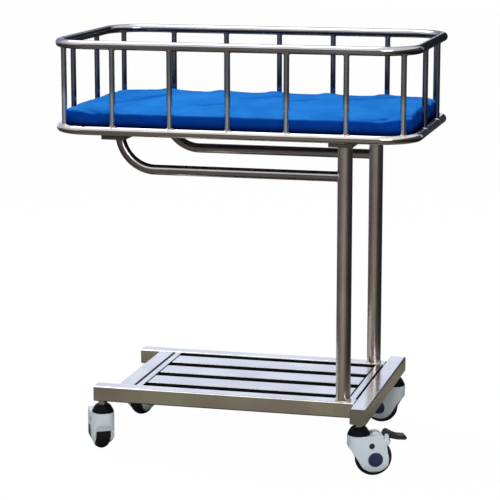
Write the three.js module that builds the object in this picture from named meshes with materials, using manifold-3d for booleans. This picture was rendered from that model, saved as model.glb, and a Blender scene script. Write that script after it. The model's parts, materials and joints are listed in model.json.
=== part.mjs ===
import * as THREE from 'three';
import { mergeVertices } from 'three/addons/utils/BufferGeometryUtils.js';
import Module from 'manifold-3d';

const wasm = await Module();
wasm.setup();

// Hospital bassinet on a wheeled cantilever stand. Millimetres, +Z up, the floor at Z = 0.
// +X runs along the basket towards the posts, -Y is the front.

// Basket: two bent rails joined by upright spindles.
const basketLength = 800;
const basketWidth = 484;
const overallHeight = 915;
const railRise = 182;
const railDiameter = 19;
const railBendRadius = 80;
const spindleDiameter = 12;
const sideSpindleCount = 5;
const sideSpindlePitch = 126;
const endSpindlePitch = 162;

// Deck under the mattress and the flat bars that carry it.
const deckDepth = 10;
const deckSheet = 2;
const barWidth = 52;
const barThickness = 9;
const barReachUnderRail = 5;

// Mattress.
const mattressSideClearance = 1.5;
const mattressCornerRadius = 70;
const mattressEdgeHeight = 38;
const mattressCrown = 5;
const mattressEdgeRound = 7;
const mattressWaist = 2.5;

// Posts and cantilever arms.
const postDiameter = 31.8;
const postInset = 160.5;
const armDiameter = 22;
const armDrop = 87.3;
const armBendRadius = 78;
const armHeelInset = 146.5;

// Wheeled base.
const baseLeftOverhang = 64;
const baseRightOverhang = 63.3;
const baseWidth = 386;
const tubeWidth = 36;
const tubeHeight = 34;
const tubeCornerRadius = 3;
const rightCrossLength = 480;
const leftCrossInset = 48;
const shelfDrop = 0.8;
const stripWidth = 14;
const stripGroove = 4;
const slatCount = 3;
const slatWidth = 64;
const slatThickness = 12;

// Casters.
const wheelDiameter = 80;
const wheelWidth = 29;
const wheelShoulder = 6;
const tyreThickness = 9;
const hubWall = 8;
const hubRecess = 4;
const casterTrail = 32;
const leftCasterInset = 15.5;
const rightCasterInset = 27;
const rightCasterSetback = 3;
const shellWidth = 50;
const shellEdgeRound = 4;
const seatAboveWheel = 11;
const cheekRadius = 31.5;
const headRise = 5;
const ledgeDrop = 1.9;
const noseReach = 36;
const noseDepth = 14;
const noseTip = 3;
const noseWidth = 42;
const noseEdgeRound = 1;
const backFlare = 37;
const wheelHeadroom = 3.5;
const wheelSideRoom = 2;
const stemDiameter = 20;
const stemInsertion = 11;
const stemNeck = 10.1;
const capBottomDiameter = 48;
const capTopDiameter = 31;
const capHeight = 17;
const axleDiameter = 8;
const axleCapDiameter = 31.5;
const axleCapThickness = 3.3;
const screwDiameter = 13;
const screwRecess = 1.5;
const screwRise = 30;
const screwBack = 8;
const humpWidth = 20;
const humpRise = 6.5;
const humpBack = 9;
const humpFront = 13;
const humpFoot = 4;
const humpEdgeRound = 2;
const pedalWidth = 26;
const pedalPivotRise = -1.6;
const pedalPivotBack = 25;
const pedalPinDiameter = 5;
const pedalReach = 45;
const pedalNeck = 22;
const pedalHeadRise = 9.4;
const pedalToeThickness = 8.5;
const pedalToeDrop = 2.9;
const pedalHubRadius = 5;
const pedalHubRoom = 3.2;
const pedalPinBite = 2.4;
const pedalEdgeRound = 2;
const earRadius = 4.5;
const earThickness = 4;

// Fits.
const weldGap = 0.3;
const runningFit = 0.4;

// Facets.
const tubeSides = 16;
const bendSteps = 6;
const spindleSides = 12;

// Derived levels and positions.
const topRailZ = overallHeight - railDiameter / 2;
const bottomRailZ = topRailZ - railRise;
const railHalfLength = (basketLength - railDiameter) / 2;
const railHalfWidth = (basketWidth - railDiameter) / 2;
const barTopZ = bottomRailZ - railDiameter / 2 - weldGap;
const barBottomZ = barTopZ - barThickness;
const deckBottomZ = barTopZ + weldGap;
const deckTopZ = deckBottomZ + deckDepth;
const mattressBottomZ = deckTopZ + weldGap;
const postX = basketLength / 2 - postInset;
const armHeelX = armHeelInset - basketLength / 2;
const baseLeftX = armHeelX - baseLeftOverhang;
const baseRightX = postX + baseRightOverhang;
const wheelRadius = wheelDiameter / 2;
const shellSeatHeight = wheelDiameter + seatAboveWheel;
const casterHeight = shellSeatHeight + weldGap + capHeight + stemNeck;
const baseBottomZ = casterHeight;
const baseTopZ = baseBottomZ + tubeHeight;
const baseRailY = (baseWidth - tubeWidth) / 2;
const rightCrossX = baseRightX - tubeWidth / 2;
const leftCrossX = baseLeftX + leftCrossInset + tubeWidth / 2;
const shelfTopZ = baseTopZ - shelfDrop;

const up = new THREE.Vector3(0, 0, 1);
const across = new THREE.Vector3(0, 1, 0);

const polished = () => new THREE.MeshStandardMaterial({ color: 0xa8a59d, roughness: 0.22, metalness: 1 });
const vinyl = () => new THREE.MeshStandardMaterial({ color: 0x1f66c4, roughness: 0.55, metalness: 0 });
const paleShell = () => new THREE.MeshStandardMaterial({ color: 0xd3d8da, roughness: 0.4, metalness: 0 });
const darkPlastic = () => new THREE.MeshStandardMaterial({ color: 0x17171a, roughness: 0.5, metalness: 0 });
const axlePlastic = () => new THREE.MeshStandardMaterial({ color: 0x2b2e44, roughness: 0.45, metalness: 0 });
const tyreRubber = () => new THREE.MeshStandardMaterial({ color: 0x121212, roughness: 0.75, metalness: 0 });

const product = new THREE.Group();
product.name = 'hospital_bassinet';
const basket = new THREE.Group();
const stand = new THREE.Group();
product.add(basket, stand);

function addPart(group, name, geometry, material) {
  const mesh = new THREE.Mesh(geometry, material);
  mesh.name = name;
  group.add(mesh);
}

// Solid from a closed geometry, with its corners welded.
function solidOf(geometry) {
  const bare = geometry.clone();
  bare.deleteAttribute('normal');
  bare.deleteAttribute('uv');
  const welded = mergeVertices(bare, 1e-4);
  const mesh = new wasm.Mesh({
    numProp: 3,
    vertProperties: new Float32Array(welded.attributes.position.array),
    triVerts: new Uint32Array(welded.index.array),
  });
  return new wasm.Manifold(mesh);
}

function geometryOf(solid) {
  const mesh = solid.getMesh();
  const geometry = new THREE.BufferGeometry();
  const stride = mesh.numProp;
  const count = mesh.vertProperties.length / stride;
  const positions = new Float32Array(count * 3);
  for (let i = 0; i < count; i += 1) {
    positions[3 * i] = mesh.vertProperties[stride * i];
    positions[3 * i + 1] = mesh.vertProperties[stride * i + 1];
    positions[3 * i + 2] = mesh.vertProperties[stride * i + 2];
  }
  geometry.setAttribute('position', new THREE.BufferAttribute(positions, 3));
  geometry.setIndex(Array.from(mesh.triVerts));
  geometry.computeVertexNormals();
  return geometry;
}

// Surface through equal rings of points, either closed on itself or capped at both ends.
function ringSurface(rings, closed) {
  const sides = rings[0].length;
  const positions = rings.flat().flatMap((point) => [point.x, point.y, point.z]);
  const index = [];
  const spans = closed ? rings.length : rings.length - 1;
  for (let i = 0; i < spans; i += 1) {
    const here = i * sides;
    const next = ((i + 1) % rings.length) * sides;
    for (let k = 0; k < sides; k += 1) {
      const after = (k + 1) % sides;
      index.push(here + k, here + after, next + after);
      index.push(here + k, next + after, next + k);
    }
  }
  if (!closed) {
    const last = (rings.length - 1) * sides;
    for (let k = 1; k < sides - 1; k += 1) {
      index.push(0, k + 1, k);
      index.push(last, last + k, last + k + 1);
    }
  }
  const geometry = new THREE.BufferGeometry();
  geometry.setAttribute('position', new THREE.Float32BufferAttribute(positions, 3));
  geometry.setIndex(index);
  geometry.computeVertexNormals();
  return geometry;
}

// Round tube along stations that lie in one plane.
function bentTube(stations, planeNormal, diameter, closed) {
  const rings = stations.map(({ point, direction }) => {
    const side = new THREE.Vector3().crossVectors(planeNormal, direction).normalize();
    const ring = [];
    for (let k = 0; k < tubeSides; k += 1) {
      const turn = (2 * Math.PI * k) / tubeSides;
      const corner = point.clone();
      corner.addScaledVector(side, (Math.cos(turn) * diameter) / 2);
      corner.addScaledVector(planeNormal, (Math.sin(turn) * diameter) / 2);
      ring.push(corner);
    }
    return ring;
  });
  return ringSurface(rings, closed);
}

// Rounded rectangle as plan points, anticlockwise from the right-hand side.
function roundedOutline(halfLength, halfWidth, radius, steps) {
  const outline = [];
  const corners = [
    [halfLength - radius, halfWidth - radius],
    [-halfLength + radius, halfWidth - radius],
    [-halfLength + radius, -halfWidth + radius],
    [halfLength - radius, -halfWidth + radius],
  ];
  corners.forEach(([x, y], quarter) => {
    for (let k = 0; k <= steps; k += 1) {
      const turn = (Math.PI / 2) * (quarter + k / steps);
      const heading = new THREE.Vector3(-Math.sin(turn), Math.cos(turn), 0);
      const point = new THREE.Vector3(x + radius * Math.cos(turn), y + radius * Math.sin(turn), 0);
      outline.push({ point, direction: heading });
    }
  });
  return outline;
}

function outlineShape(outline) {
  return new THREE.Shape(outline.map(({ point }) => new THREE.Vector2(point.x, point.y)));
}

function railLoop(z, diameter) {
  const outline = roundedOutline(railHalfLength, railHalfWidth, railBendRadius, bendSteps);
  outline.forEach(({ point }) => point.setZ(z));
  return bentTube(outline, up, diameter, true);
}

function upright(x, y, fromZ, toZ, diameter, sides) {
  const geometry = new THREE.CylinderGeometry(diameter / 2, diameter / 2, toZ - fromZ, sides);
  geometry.rotateX(Math.PI / 2);
  geometry.translate(x, y, (fromZ + toZ) / 2);
  return geometry;
}

function box(sizeX, sizeY, sizeZ, x, y, topZ) {
  const geometry = new THREE.BoxGeometry(sizeX, sizeY, sizeZ);
  geometry.translate(x, y, topZ - sizeZ / 2);
  return geometry;
}

// Square-cornered tube with softened edges, lying along X and centred on the origin.
function softBar(length, width, height, radius) {
  const section = outlineShape(roundedOutline(width / 2, height / 2, radius, 2));
  const geometry = new THREE.ExtrudeGeometry(section, { depth: length, bevelEnabled: false });
  geometry.translate(0, 0, -length / 2);
  geometry.rotateX(Math.PI / 2);
  geometry.rotateZ(Math.PI / 2);
  return geometry;
}

// Basket rails.
addPart(basket, 'top_rail', railLoop(topRailZ, railDiameter), polished());
addPart(basket, 'bottom_rail', railLoop(bottomRailZ, railDiameter), polished());

// Spindles, coped to the rails at both ends.
const topCope = solidOf(railLoop(topRailZ, railDiameter + 2 * weldGap));
const bottomCope = solidOf(railLoop(bottomRailZ, railDiameter + 2 * weldGap));

function addSpindle(name, x, y) {
  const blank = solidOf(upright(x, y, bottomRailZ, topRailZ, spindleDiameter, spindleSides));
  const coped = blank.subtract(topCope).subtract(bottomCope);
  const pieces = coped.decompose();
  const spindle = pieces.reduce((best, piece) => (piece.volume() > best.volume() ? piece : best));
  addPart(basket, name, geometryOf(spindle), polished());
}

for (let i = 0; i < sideSpindleCount; i += 1) {
  const x = (i - (sideSpindleCount - 1) / 2) * sideSpindlePitch;
  addSpindle(`spindle_front_${i + 1}`, x, -railHalfWidth);
  addSpindle(`spindle_back_${i + 1}`, x, railHalfWidth);
}
const bendShift = railBendRadius * (1 - Math.SQRT1_2);
for (const [side, signX] of [['left', -1], ['right', 1]]) {
  for (const [face, signY] of [['front', -1], ['back', 1]]) {
    addSpindle(`spindle_${side}_${face}`, signX * railHalfLength, (signY * endSpindlePitch) / 2);
    const cornerX = signX * (railHalfLength - bendShift);
    const cornerY = signY * (railHalfWidth - bendShift);
    addSpindle(`spindle_corner_${side}_${face}`, cornerX, cornerY);
  }
}

// Deck: a folded sheet tray, open below, held inside the bottom rail.
const deckEdge = railDiameter / 2 + weldGap;
const deckShape = (inset) => outlineShape(roundedOutline(
  railHalfLength - deckEdge - inset,
  railHalfWidth - deckEdge - inset,
  railBendRadius - deckEdge - inset,
  bendSteps,
));
const deckFold = { depth: deckDepth, bevelEnabled: false };
const deckBlank = new THREE.ExtrudeGeometry(deckShape(0), deckFold);
const deckHollow = new THREE.ExtrudeGeometry(deckShape(deckSheet), deckFold);
deckBlank.translate(0, 0, deckBottomZ);
deckHollow.translate(0, 0, deckBottomZ - deckSheet);
addPart(basket, 'deck', geometryOf(solidOf(deckBlank).subtract(solidOf(deckHollow))), polished());

// Flat bars under the bottom rail, over the arm heels and over the posts.
const barLength = 2 * (railHalfWidth - barReachUnderRail);
addPart(basket, 'deck_bar_left', box(barWidth, barLength, barThickness, armHeelX, 0, barTopZ), polished());
addPart(basket, 'deck_bar_right', box(barWidth, barLength, barThickness, postX, 0, barTopZ), polished());

// Mattress: plump cover with a crowned top and drawn-in sides.
const mattressHalfLength = railHalfLength - railDiameter / 2 - mattressSideClearance;
const mattressHalfWidth = railHalfWidth - railDiameter / 2 - mattressSideClearance;

function mattressRing(inset, height) {
  const radius = mattressCornerRadius * (1 - inset / mattressHalfWidth);
  const outline = roundedOutline(mattressHalfLength - inset, mattressHalfWidth - inset, radius, 5);
  return outline.map(({ point }) => point.clone().setZ(mattressBottomZ + height));
}

function mattressSurface() {
  const round = mattressEdgeRound;
  const top = mattressEdgeHeight;
  const rings = [
    mattressRing(round, 0),
    mattressRing(round * 0.3, round * 0.3),
    mattressRing(0, round),
    mattressRing(mattressWaist, top / 2),
    mattressRing(0, top - round),
    mattressRing(round * 0.3, top - round * 0.3),
    mattressRing(round, top),
    mattressRing(mattressHalfWidth * 0.17, top + mattressCrown * 0.35),
    mattressRing(mattressHalfWidth * 0.38, top + mattressCrown * 0.7),
    mattressRing(mattressHalfWidth * 0.62, top + mattressCrown * 0.92),
    mattressRing(mattressHalfWidth * 0.85, top + mattressCrown),
  ];
  return ringSurface(rings, false);
}

addPart(basket, 'mattress', mattressSurface(), vinyl());

// Posts from the base rails up to the right-hand bar.
const postFoot = baseTopZ + weldGap;
const postHead = barBottomZ - weldGap;
const armZ = bottomRailZ - armDrop;

function armStations(y) {
  const centre = new THREE.Vector3(armHeelX + armBendRadius, y, armZ + armBendRadius);
  const headZ = barBottomZ - weldGap;
  const lastTurn = Math.acos((centre.z - headZ) / armBendRadius);
  const stations = [];
  stations.push({ point: new THREE.Vector3(postX, y, armZ), direction: new THREE.Vector3(-1, 0, 0) });
  for (let k = 0; k <= 2 * bendSteps; k += 1) {
    const turn = (lastTurn * k) / (2 * bendSteps);
    const point = centre.clone();
    point.x -= armBendRadius * Math.sin(turn);
    point.z -= armBendRadius * Math.cos(turn);
    stations.push({ point, direction: new THREE.Vector3(-Math.cos(turn), 0, Math.sin(turn)) });
  }
  const heel = stations[stations.length - 1];
  const beyond = heel.point.clone().addScaledVector(heel.direction, armDiameter);
  stations.push({ point: beyond, direction: heel.direction });
  return stations;
}

for (const [face, signY] of [['front', -1], ['back', 1]]) {
  const y = signY * baseRailY;
  addPart(stand, `post_${face}`, upright(postX, y, postFoot, postHead, postDiameter, 20), polished());
  const tube = solidOf(bentTube(armStations(y), across, armDiameter, false));
  const postCope = solidOf(upright(postX, y, postFoot, postHead, postDiameter + 2 * weldGap, 20));
  const trim = 3 * armDiameter;
  const barCope = solidOf(box(trim, trim, trim, armHeelX, y, postHead + trim));
  addPart(stand, `arm_${face}`, geometryOf(tube.subtract(postCope).subtract(barCope)), polished());
}

// Base: two long rails, a wide cross tube under the posts and a short one between the rails.
const railEndX = rightCrossX - tubeWidth / 2 - weldGap;
const baseRailLength = railEndX - baseLeftX;
for (const [face, signY] of [['front', -1], ['back', 1]]) {
  const rail = softBar(baseRailLength, tubeWidth, tubeHeight, tubeCornerRadius);
  rail.translate((baseLeftX + railEndX) / 2, signY * baseRailY, baseBottomZ + tubeHeight / 2);
  addPart(stand, `base_rail_${face}`, rail, polished());
}
const clearWidth = baseWidth - 2 * tubeWidth - 2 * weldGap;
const rightCross = softBar(rightCrossLength, tubeWidth, tubeHeight, tubeCornerRadius);
rightCross.rotateZ(Math.PI / 2);
rightCross.translate(rightCrossX, 0, baseBottomZ + tubeHeight / 2);
addPart(stand, 'base_cross_right', rightCross, polished());
const leftCross = softBar(clearWidth, tubeWidth, tubeHeight, tubeCornerRadius);
leftCross.rotateZ(Math.PI / 2);
leftCross.translate(leftCrossX, 0, baseBottomZ + tubeHeight / 2);
addPart(stand, 'base_cross_left', leftCross, polished());

// Shelf: a strip beside each cross tube, with flat slats between the strips.
const stripShift = (tubeWidth + stripWidth) / 2 + stripGroove;
const leftStripX = leftCrossX + stripShift;
const rightStripX = rightCrossX - stripShift;
const stripAt = (x) => box(stripWidth, clearWidth, slatThickness, x, 0, shelfTopZ);
addPart(stand, 'shelf_strip_left', stripAt(leftStripX), polished());
addPart(stand, 'shelf_strip_right', stripAt(rightStripX), polished());
const slatLength = rightStripX - leftStripX - stripWidth - 2 * weldGap;
const slatGap = (clearWidth - slatCount * slatWidth) / (slatCount + 1);
for (let i = 0; i < slatCount; i += 1) {
  const x = (leftStripX + rightStripX) / 2;
  const y = (i - (slatCount - 1) / 2) * (slatWidth + slatGap);
  const slat = box(slatLength, slatWidth, slatThickness, x, y, shelfTopZ);
  addPart(stand, `shelf_slat_${i + 1}`, slat, polished());
}

// Casters, each built about its own swivel axis with the wheel trailing along +X.

// Stand a side profile up in the XZ plane, with its thickness shared either side of Y = 0.
function sideSlab(shape, width, edgeRound, curveSegments) {
  const geometry = new THREE.ExtrudeGeometry(shape, {
    depth: width - 2 * edgeRound,
    bevelEnabled: edgeRound > 0,
    bevelThickness: edgeRound,
    bevelSize: edgeRound,
    bevelOffset: -edgeRound,
    bevelSegments: 2,
    curveSegments,
  });
  geometry.translate(0, 0, edgeRound - width / 2);
  geometry.rotateX(Math.PI / 2);
  return geometry;
}

function crossDisc(diameter, width, x, y, z, sides) {
  const geometry = new THREE.CylinderGeometry(diameter / 2, diameter / 2, width, sides);
  geometry.translate(x, y, z);
  return geometry;
}

const pedalPivotX = casterTrail + pedalPivotBack;
const pedalPivotZ = shellSeatHeight + pedalPivotRise;
const ledgeZ = shellSeatHeight - headRise - ledgeDrop + pedalPivotRise;
const noseX = casterTrail + noseReach;
const headEndX = pedalPivotX - pedalHubRadius - pedalHubRoom;
const headHalf = shellWidth / 2;
const pedalPinLength = pedalWidth + 2 * (runningFit + pedalPinBite);

// Side of the shell: level seat, sloped head, ledge under the pedal, round cheek and bulging back.
function shellProfile() {
  const seat = shellSeatHeight;
  const cheekX = casterTrail - cheekRadius;
  const shape = new THREE.Shape();
  shape.moveTo(-headHalf, seat);
  shape.lineTo(headHalf * 0.92, seat);
  shape.quadraticCurveTo(casterTrail + headRise / 2, seat + headRise, headEndX, seat + headRise * 0.2);
  shape.lineTo(headEndX + 0.4 * headRise, ledgeZ);
  shape.lineTo(noseX - noseDepth * 0.8, ledgeZ - noseTip / 2);
  shape.lineTo(noseX - noseDepth * 0.8, ledgeZ - noseDepth);
  shape.absarc(casterTrail, wheelRadius, cheekRadius, Math.PI * 0.14, -Math.PI * 0.68, true);
  shape.quadraticCurveTo(cheekX + 3, wheelRadius * 0.5, cheekX - 2.5, wheelRadius * 0.78);
  shape.lineTo(-headHalf * 0.6, seat - backFlare);
  shape.quadraticCurveTo(-headHalf, seat - backFlare * 0.68, -headHalf, seat - backFlare * 0.35);
  shape.closePath();
  return shape;
}

// Visor that stands out under the pedal, over the tyre.
function noseProfile() {
  const shape = new THREE.Shape();
  shape.moveTo(headEndX, ledgeZ - noseTip / 2);
  shape.lineTo(noseX - noseDepth * 0.6, ledgeZ - noseTip);
  shape.lineTo(noseX, ledgeZ - noseDepth * 0.35);
  shape.lineTo(noseX, ledgeZ - noseDepth * 0.35 - noseTip);
  shape.lineTo(noseX - noseDepth * 0.8, ledgeZ - noseDepth);
  shape.lineTo(headEndX, ledgeZ - noseDepth);
  shape.closePath();
  return shape;
}

function shellPlan() {
  const shape = new THREE.Shape();
  shape.moveTo(0, shellWidth / 2);
  shape.absarc(0, 0, shellWidth / 2, Math.PI / 2, (3 * Math.PI) / 2, false);
  const frontX = casterTrail + cheekRadius * 0.75;
  shape.lineTo(frontX, -shellWidth / 2);
  shape.absellipse(frontX, 0, noseX - frontX, shellWidth / 2, -Math.PI / 2, Math.PI / 2, false, 0);
  shape.closePath();
  return shape;
}

function humpProfile() {
  const backX = casterTrail - humpBack;
  const frontX = casterTrail + humpFront;
  const footZ = shellSeatHeight - humpFoot;
  const topZ = shellSeatHeight + humpRise;
  const crownX = casterTrail + humpFront * 0.3;
  const shape = new THREE.Shape();
  shape.moveTo(backX, footZ);
  shape.lineTo(backX + humpFoot, topZ - humpRise / 2);
  shape.quadraticCurveTo(backX + humpBack * 0.8, topZ, crownX, topZ);
  shape.quadraticCurveTo(frontX - humpFront * 0.15, topZ - humpRise * 0.1, frontX, topZ - humpRise * 0.7);
  shape.lineTo(frontX, footZ);
  shape.closePath();
  return shape;
}

function earProfile() {
  const shape = new THREE.Shape();
  shape.moveTo(pedalPivotX - earRadius, ledgeZ - earThickness);
  shape.lineTo(pedalPivotX + earRadius, ledgeZ - earThickness);
  shape.lineTo(pedalPivotX + earRadius, pedalPivotZ);
  shape.absarc(pedalPivotX, pedalPivotZ, earRadius, 0, Math.PI, false);
  shape.closePath();
  return shape;
}

// Moulded fork shell: two cheeks bridged over the wheel, with a socket for the stem.
function forkSolid(braked) {
  const planOptions = { depth: casterHeight, bevelEnabled: false, curveSegments: 6 };
  const plan = new THREE.ExtrudeGeometry(shellPlan(), planOptions);
  const nose = solidOf(sideSlab(noseProfile(), noseWidth, noseEdgeRound, 3));
  let shell = solidOf(sideSlab(shellProfile(), shellWidth, shellEdgeRound, 5));
  shell = shell.add(nose).intersect(solidOf(plan));
  shell = shell.add(solidOf(sideSlab(humpProfile(), humpWidth, humpEdgeRound, 3)));
  if (braked) {
    const earOffset = (pedalWidth + earThickness) / 2 + runningFit;
    for (const signY of [-1, 1]) {
      const ear = sideSlab(earProfile(), earThickness, 0, 5);
      ear.translate(0, signY * earOffset, 0);
      shell = shell.add(solidOf(ear));
    }
    const holeDiameter = pedalPinDiameter + 2 * runningFit;
    const holeLength = pedalPinLength + 2 * runningFit;
    const pinHole = crossDisc(holeDiameter, holeLength, pedalPivotX, 0, pedalPivotZ, 10);
    shell = shell.subtract(solidOf(pinHole));
  }
  const roomDiameter = wheelDiameter + 2 * wheelHeadroom;
  const room = crossDisc(roomDiameter, wheelWidth + 2 * wheelSideRoom, casterTrail, 0, wheelRadius, 20);
  shell = shell.subtract(solidOf(room));
  const axleHole = crossDisc(axleDiameter + 2 * runningFit, 2 * shellWidth, casterTrail, 0, wheelRadius, 10);
  shell = shell.subtract(solidOf(axleHole));
  for (const signY of [-1, 1]) {
    const faceY = (signY * shellWidth) / 2;
    const seatDiameter = axleCapDiameter + 2 * runningFit;
    const capSeat = crossDisc(seatDiameter, 2 * axleCapThickness, casterTrail, faceY, wheelRadius, 16);
    const screwX = casterTrail - screwBack;
    const screwZ = wheelRadius + screwRise;
    const screwSeat = crossDisc(screwDiameter, 2 * screwRecess, screwX, faceY, screwZ, 10);
    shell = shell.subtract(solidOf(capSeat)).subtract(solidOf(screwSeat));
  }
  const socketFloor = shellSeatHeight - stemInsertion - weldGap;
  const socket = upright(0, 0, socketFloor, casterHeight, stemDiameter + 2 * weldGap, 14);
  return shell.subtract(solidOf(socket));
}

// Surface turned about the vertical or the axle from a profile that closes on itself.
function turned(points, sides) {
  const geometry = new THREE.LatheGeometry(points.map(([r, h]) => new THREE.Vector2(r, h)), sides);
  return geometryOf(solidOf(geometry));
}

function dustCap() {
  const bore = stemDiameter / 2 + weldGap;
  const base = capBottomDiameter / 2;
  const crown = capTopDiameter / 2;
  const cap = turned([
    [bore, 0],
    [base, 0],
    [base, capHeight * 0.18],
    [base * 0.55 + crown * 0.45, capHeight * 0.5],
    [crown, capHeight - 1.5],
    [crown - 1.5, capHeight],
    [bore, capHeight],
    [bore, 0],
  ], 16);
  cap.rotateX(Math.PI / 2);
  cap.translate(0, 0, shellSeatHeight + weldGap);
  return cap;
}

function axlePin() {
  const face = shellWidth / 2 + weldGap;
  const seat = shellWidth / 2 - axleCapThickness + weldGap;
  const head = axleCapDiameter / 2;
  const pin = turned([
    [0, -face],
    [head - 1, -face],
    [head, -face + 1],
    [head, -seat],
    [axleDiameter / 2, -seat],
    [axleDiameter / 2, seat],
    [head, seat],
    [head, face - 1],
    [head - 1, face],
    [0, face],
  ], 14);
  pin.translate(casterTrail, 0, wheelRadius);
  return pin;
}

function wheelBody() {
  const bore = axleDiameter / 2 + runningFit;
  const half = wheelWidth / 2;
  const rim = wheelRadius - tyreThickness;
  const wheel = turned([
    [bore, -half],
    [bore + hubWall, -half],
    [bore + hubWall, -half + hubRecess],
    [rim, -half + hubRecess],
    [rim, -half],
    [wheelRadius - wheelShoulder * 0.3, -half + wheelShoulder * 0.3],
    [wheelRadius, -half + wheelShoulder],
    [wheelRadius, half - wheelShoulder],
    [wheelRadius - wheelShoulder * 0.3, half - wheelShoulder * 0.3],
    [rim, half],
    [rim, half - hubRecess],
    [bore + hubWall, half - hubRecess],
    [bore + hubWall, half],
    [bore, half],
    [bore, -half],
  ], 20);
  wheel.translate(casterTrail, 0, wheelRadius);
  return wheel;
}

// Brake pedal: a stout lever on a cross pin, with a rounded toe.
function pedalBody() {
  const shape = new THREE.Shape();
  const hub = pedalHubRadius;
  const toeX = pedalPivotX + pedalReach;
  const neckX = pedalPivotX + pedalNeck;
  const headZ = pedalPivotZ + pedalHeadRise;
  const toeTopZ = pedalPivotZ - pedalToeDrop;
  const toeHalf = pedalToeThickness / 2;
  const soleZ = toeTopZ - pedalToeThickness;
  shape.absarc(pedalPivotX, pedalPivotZ, hub, Math.PI * 0.75, Math.PI * 1.45, false);
  shape.lineTo(pedalPivotX + pedalNeck * 0.6, pedalPivotZ - hub * 1.5);
  shape.lineTo(neckX, soleZ + hub * 0.3);
  shape.lineTo(toeX - toeHalf, soleZ);
  shape.absarc(toeX - toeHalf, soleZ + toeHalf, toeHalf, -Math.PI / 2, Math.PI / 2, false);
  shape.lineTo(neckX, toeTopZ + hub * 0.5);
  shape.quadraticCurveTo(pedalPivotX + hub * 2, headZ - 1, pedalPivotX + hub, headZ);
  shape.quadraticCurveTo(pedalPivotX, headZ + 0.5, pedalPivotX - hub * 0.4, headZ - hub * 0.6);
  shape.closePath();
  const lever = solidOf(sideSlab(shape, pedalWidth, pedalEdgeRound, 4));
  const pin = solidOf(crossDisc(pedalPinDiameter, pedalPinLength, pedalPivotX, 0, pedalPivotZ, 10));
  return geometryOf(lever.add(pin));
}

const leftCasterX = baseLeftX + leftCasterInset;
const rightCasterX = rightCrossX - rightCasterSetback;
const rightCasterY = rightCrossLength / 2 - rightCasterInset;
const casters = [
  { corner: 'left_front', x: leftCasterX, y: -baseRailY, heading: 118, braked: false },
  { corner: 'left_back', x: leftCasterX, y: baseRailY, heading: 255, braked: false },
  { corner: 'right_front', x: rightCasterX, y: -rightCasterY, heading: 23, braked: true },
  { corner: 'right_back', x: rightCasterX, y: rightCasterY, heading: 175, braked: true },
];

for (const { corner, x, y, heading, braked } of casters) {
  const caster = new THREE.Group();
  caster.name = `caster_${corner}`;
  caster.position.set(x, y, 0);
  caster.rotation.z = THREE.MathUtils.degToRad(heading);
  stand.add(caster);
  const stem = upright(0, 0, shellSeatHeight - stemInsertion, baseBottomZ - weldGap, stemDiameter, 14);
  addPart(caster, `caster_stem_${corner}`, stem, polished());
  addPart(caster, `caster_cap_${corner}`, dustCap(), darkPlastic());
  addPart(caster, `caster_fork_${corner}`, geometryOf(forkSolid(braked)), paleShell());
  addPart(caster, `caster_axle_${corner}`, axlePin(), axlePlastic());
  addPart(caster, `caster_wheel_${corner}`, wheelBody(), tyreRubber());
  if (braked) {
    addPart(caster, `caster_pedal_${corner}`, pedalBody(), darkPlastic());
  }
}

export default product;
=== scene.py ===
"""Looks of a wheeled hospital bassinet: tube basket, vinyl mattress, cantilever stand, casters."""

import json
import logging
import math
from dataclasses import dataclass, field
from enum import Enum
from functools import lru_cache
from typing import Any, Callable, Iterable, Optional, Sequence, Union

import bmesh
import bpy
from mathutils import Matrix, Vector


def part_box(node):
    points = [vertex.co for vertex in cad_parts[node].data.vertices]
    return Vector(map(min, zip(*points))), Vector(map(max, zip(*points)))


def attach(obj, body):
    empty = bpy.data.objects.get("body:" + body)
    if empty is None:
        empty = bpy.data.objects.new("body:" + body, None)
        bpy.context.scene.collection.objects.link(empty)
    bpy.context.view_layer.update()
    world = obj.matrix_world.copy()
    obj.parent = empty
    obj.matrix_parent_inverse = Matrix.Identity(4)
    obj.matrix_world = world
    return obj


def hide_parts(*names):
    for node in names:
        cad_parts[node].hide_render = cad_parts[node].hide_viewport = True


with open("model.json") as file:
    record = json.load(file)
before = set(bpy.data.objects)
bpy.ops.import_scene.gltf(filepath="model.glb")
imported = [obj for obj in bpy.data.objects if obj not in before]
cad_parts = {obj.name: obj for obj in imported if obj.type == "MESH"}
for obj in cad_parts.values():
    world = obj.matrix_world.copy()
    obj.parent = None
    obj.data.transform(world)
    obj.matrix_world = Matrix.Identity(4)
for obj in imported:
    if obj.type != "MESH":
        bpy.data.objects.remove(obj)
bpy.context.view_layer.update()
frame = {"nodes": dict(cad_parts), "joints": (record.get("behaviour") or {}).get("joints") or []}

BMVert, BMEdge = bmesh.types.BMVert, bmesh.types.BMEdge
Edges = list[BMEdge]
Triple = tuple[float, float, float]
Color = Triple
Cloud = Triple  # noise: features per metre, octaves, weight of the finer octaves
Relief = tuple[float, float]  # bump: strength, depth in metres of a full step
Stops = tuple[tuple[float, float], ...]
Tones = Sequence[tuple[float, Color]]
Profile = Sequence[tuple[float, float]]

MM = 1000.0
TINY, HAIR = 1e-6, 1e-7
FACING = 0.9  # cosine over which a face counts as facing a direction
QUARTER = math.pi / 2.0
ROOT_2 = math.sqrt(2.0)
ORIGIN = Vector((0.0, 0.0, 0.0))
X_AXIS, Y_AXIS, Z_AXIS = Vector((1.0, 0.0, 0.0)), Vector((0.0, 1.0, 0.0)), Vector((0.0, 0.0, 1.0))
EVEN = (1.0, 1.0, 1.0)
WHITE = (1.0, 1.0, 1.0)
log = logging.getLogger("bassinet")


class Slot(Enum):
    """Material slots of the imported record."""

    STEEL = "polished_steel"
    VINYL = "blue_vinyl"
    SHELL = "pale_plastic"
    BLACK = "black_plastic"
    AXLE = "axle_plastic"
    TYRE = "tyre"


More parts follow.
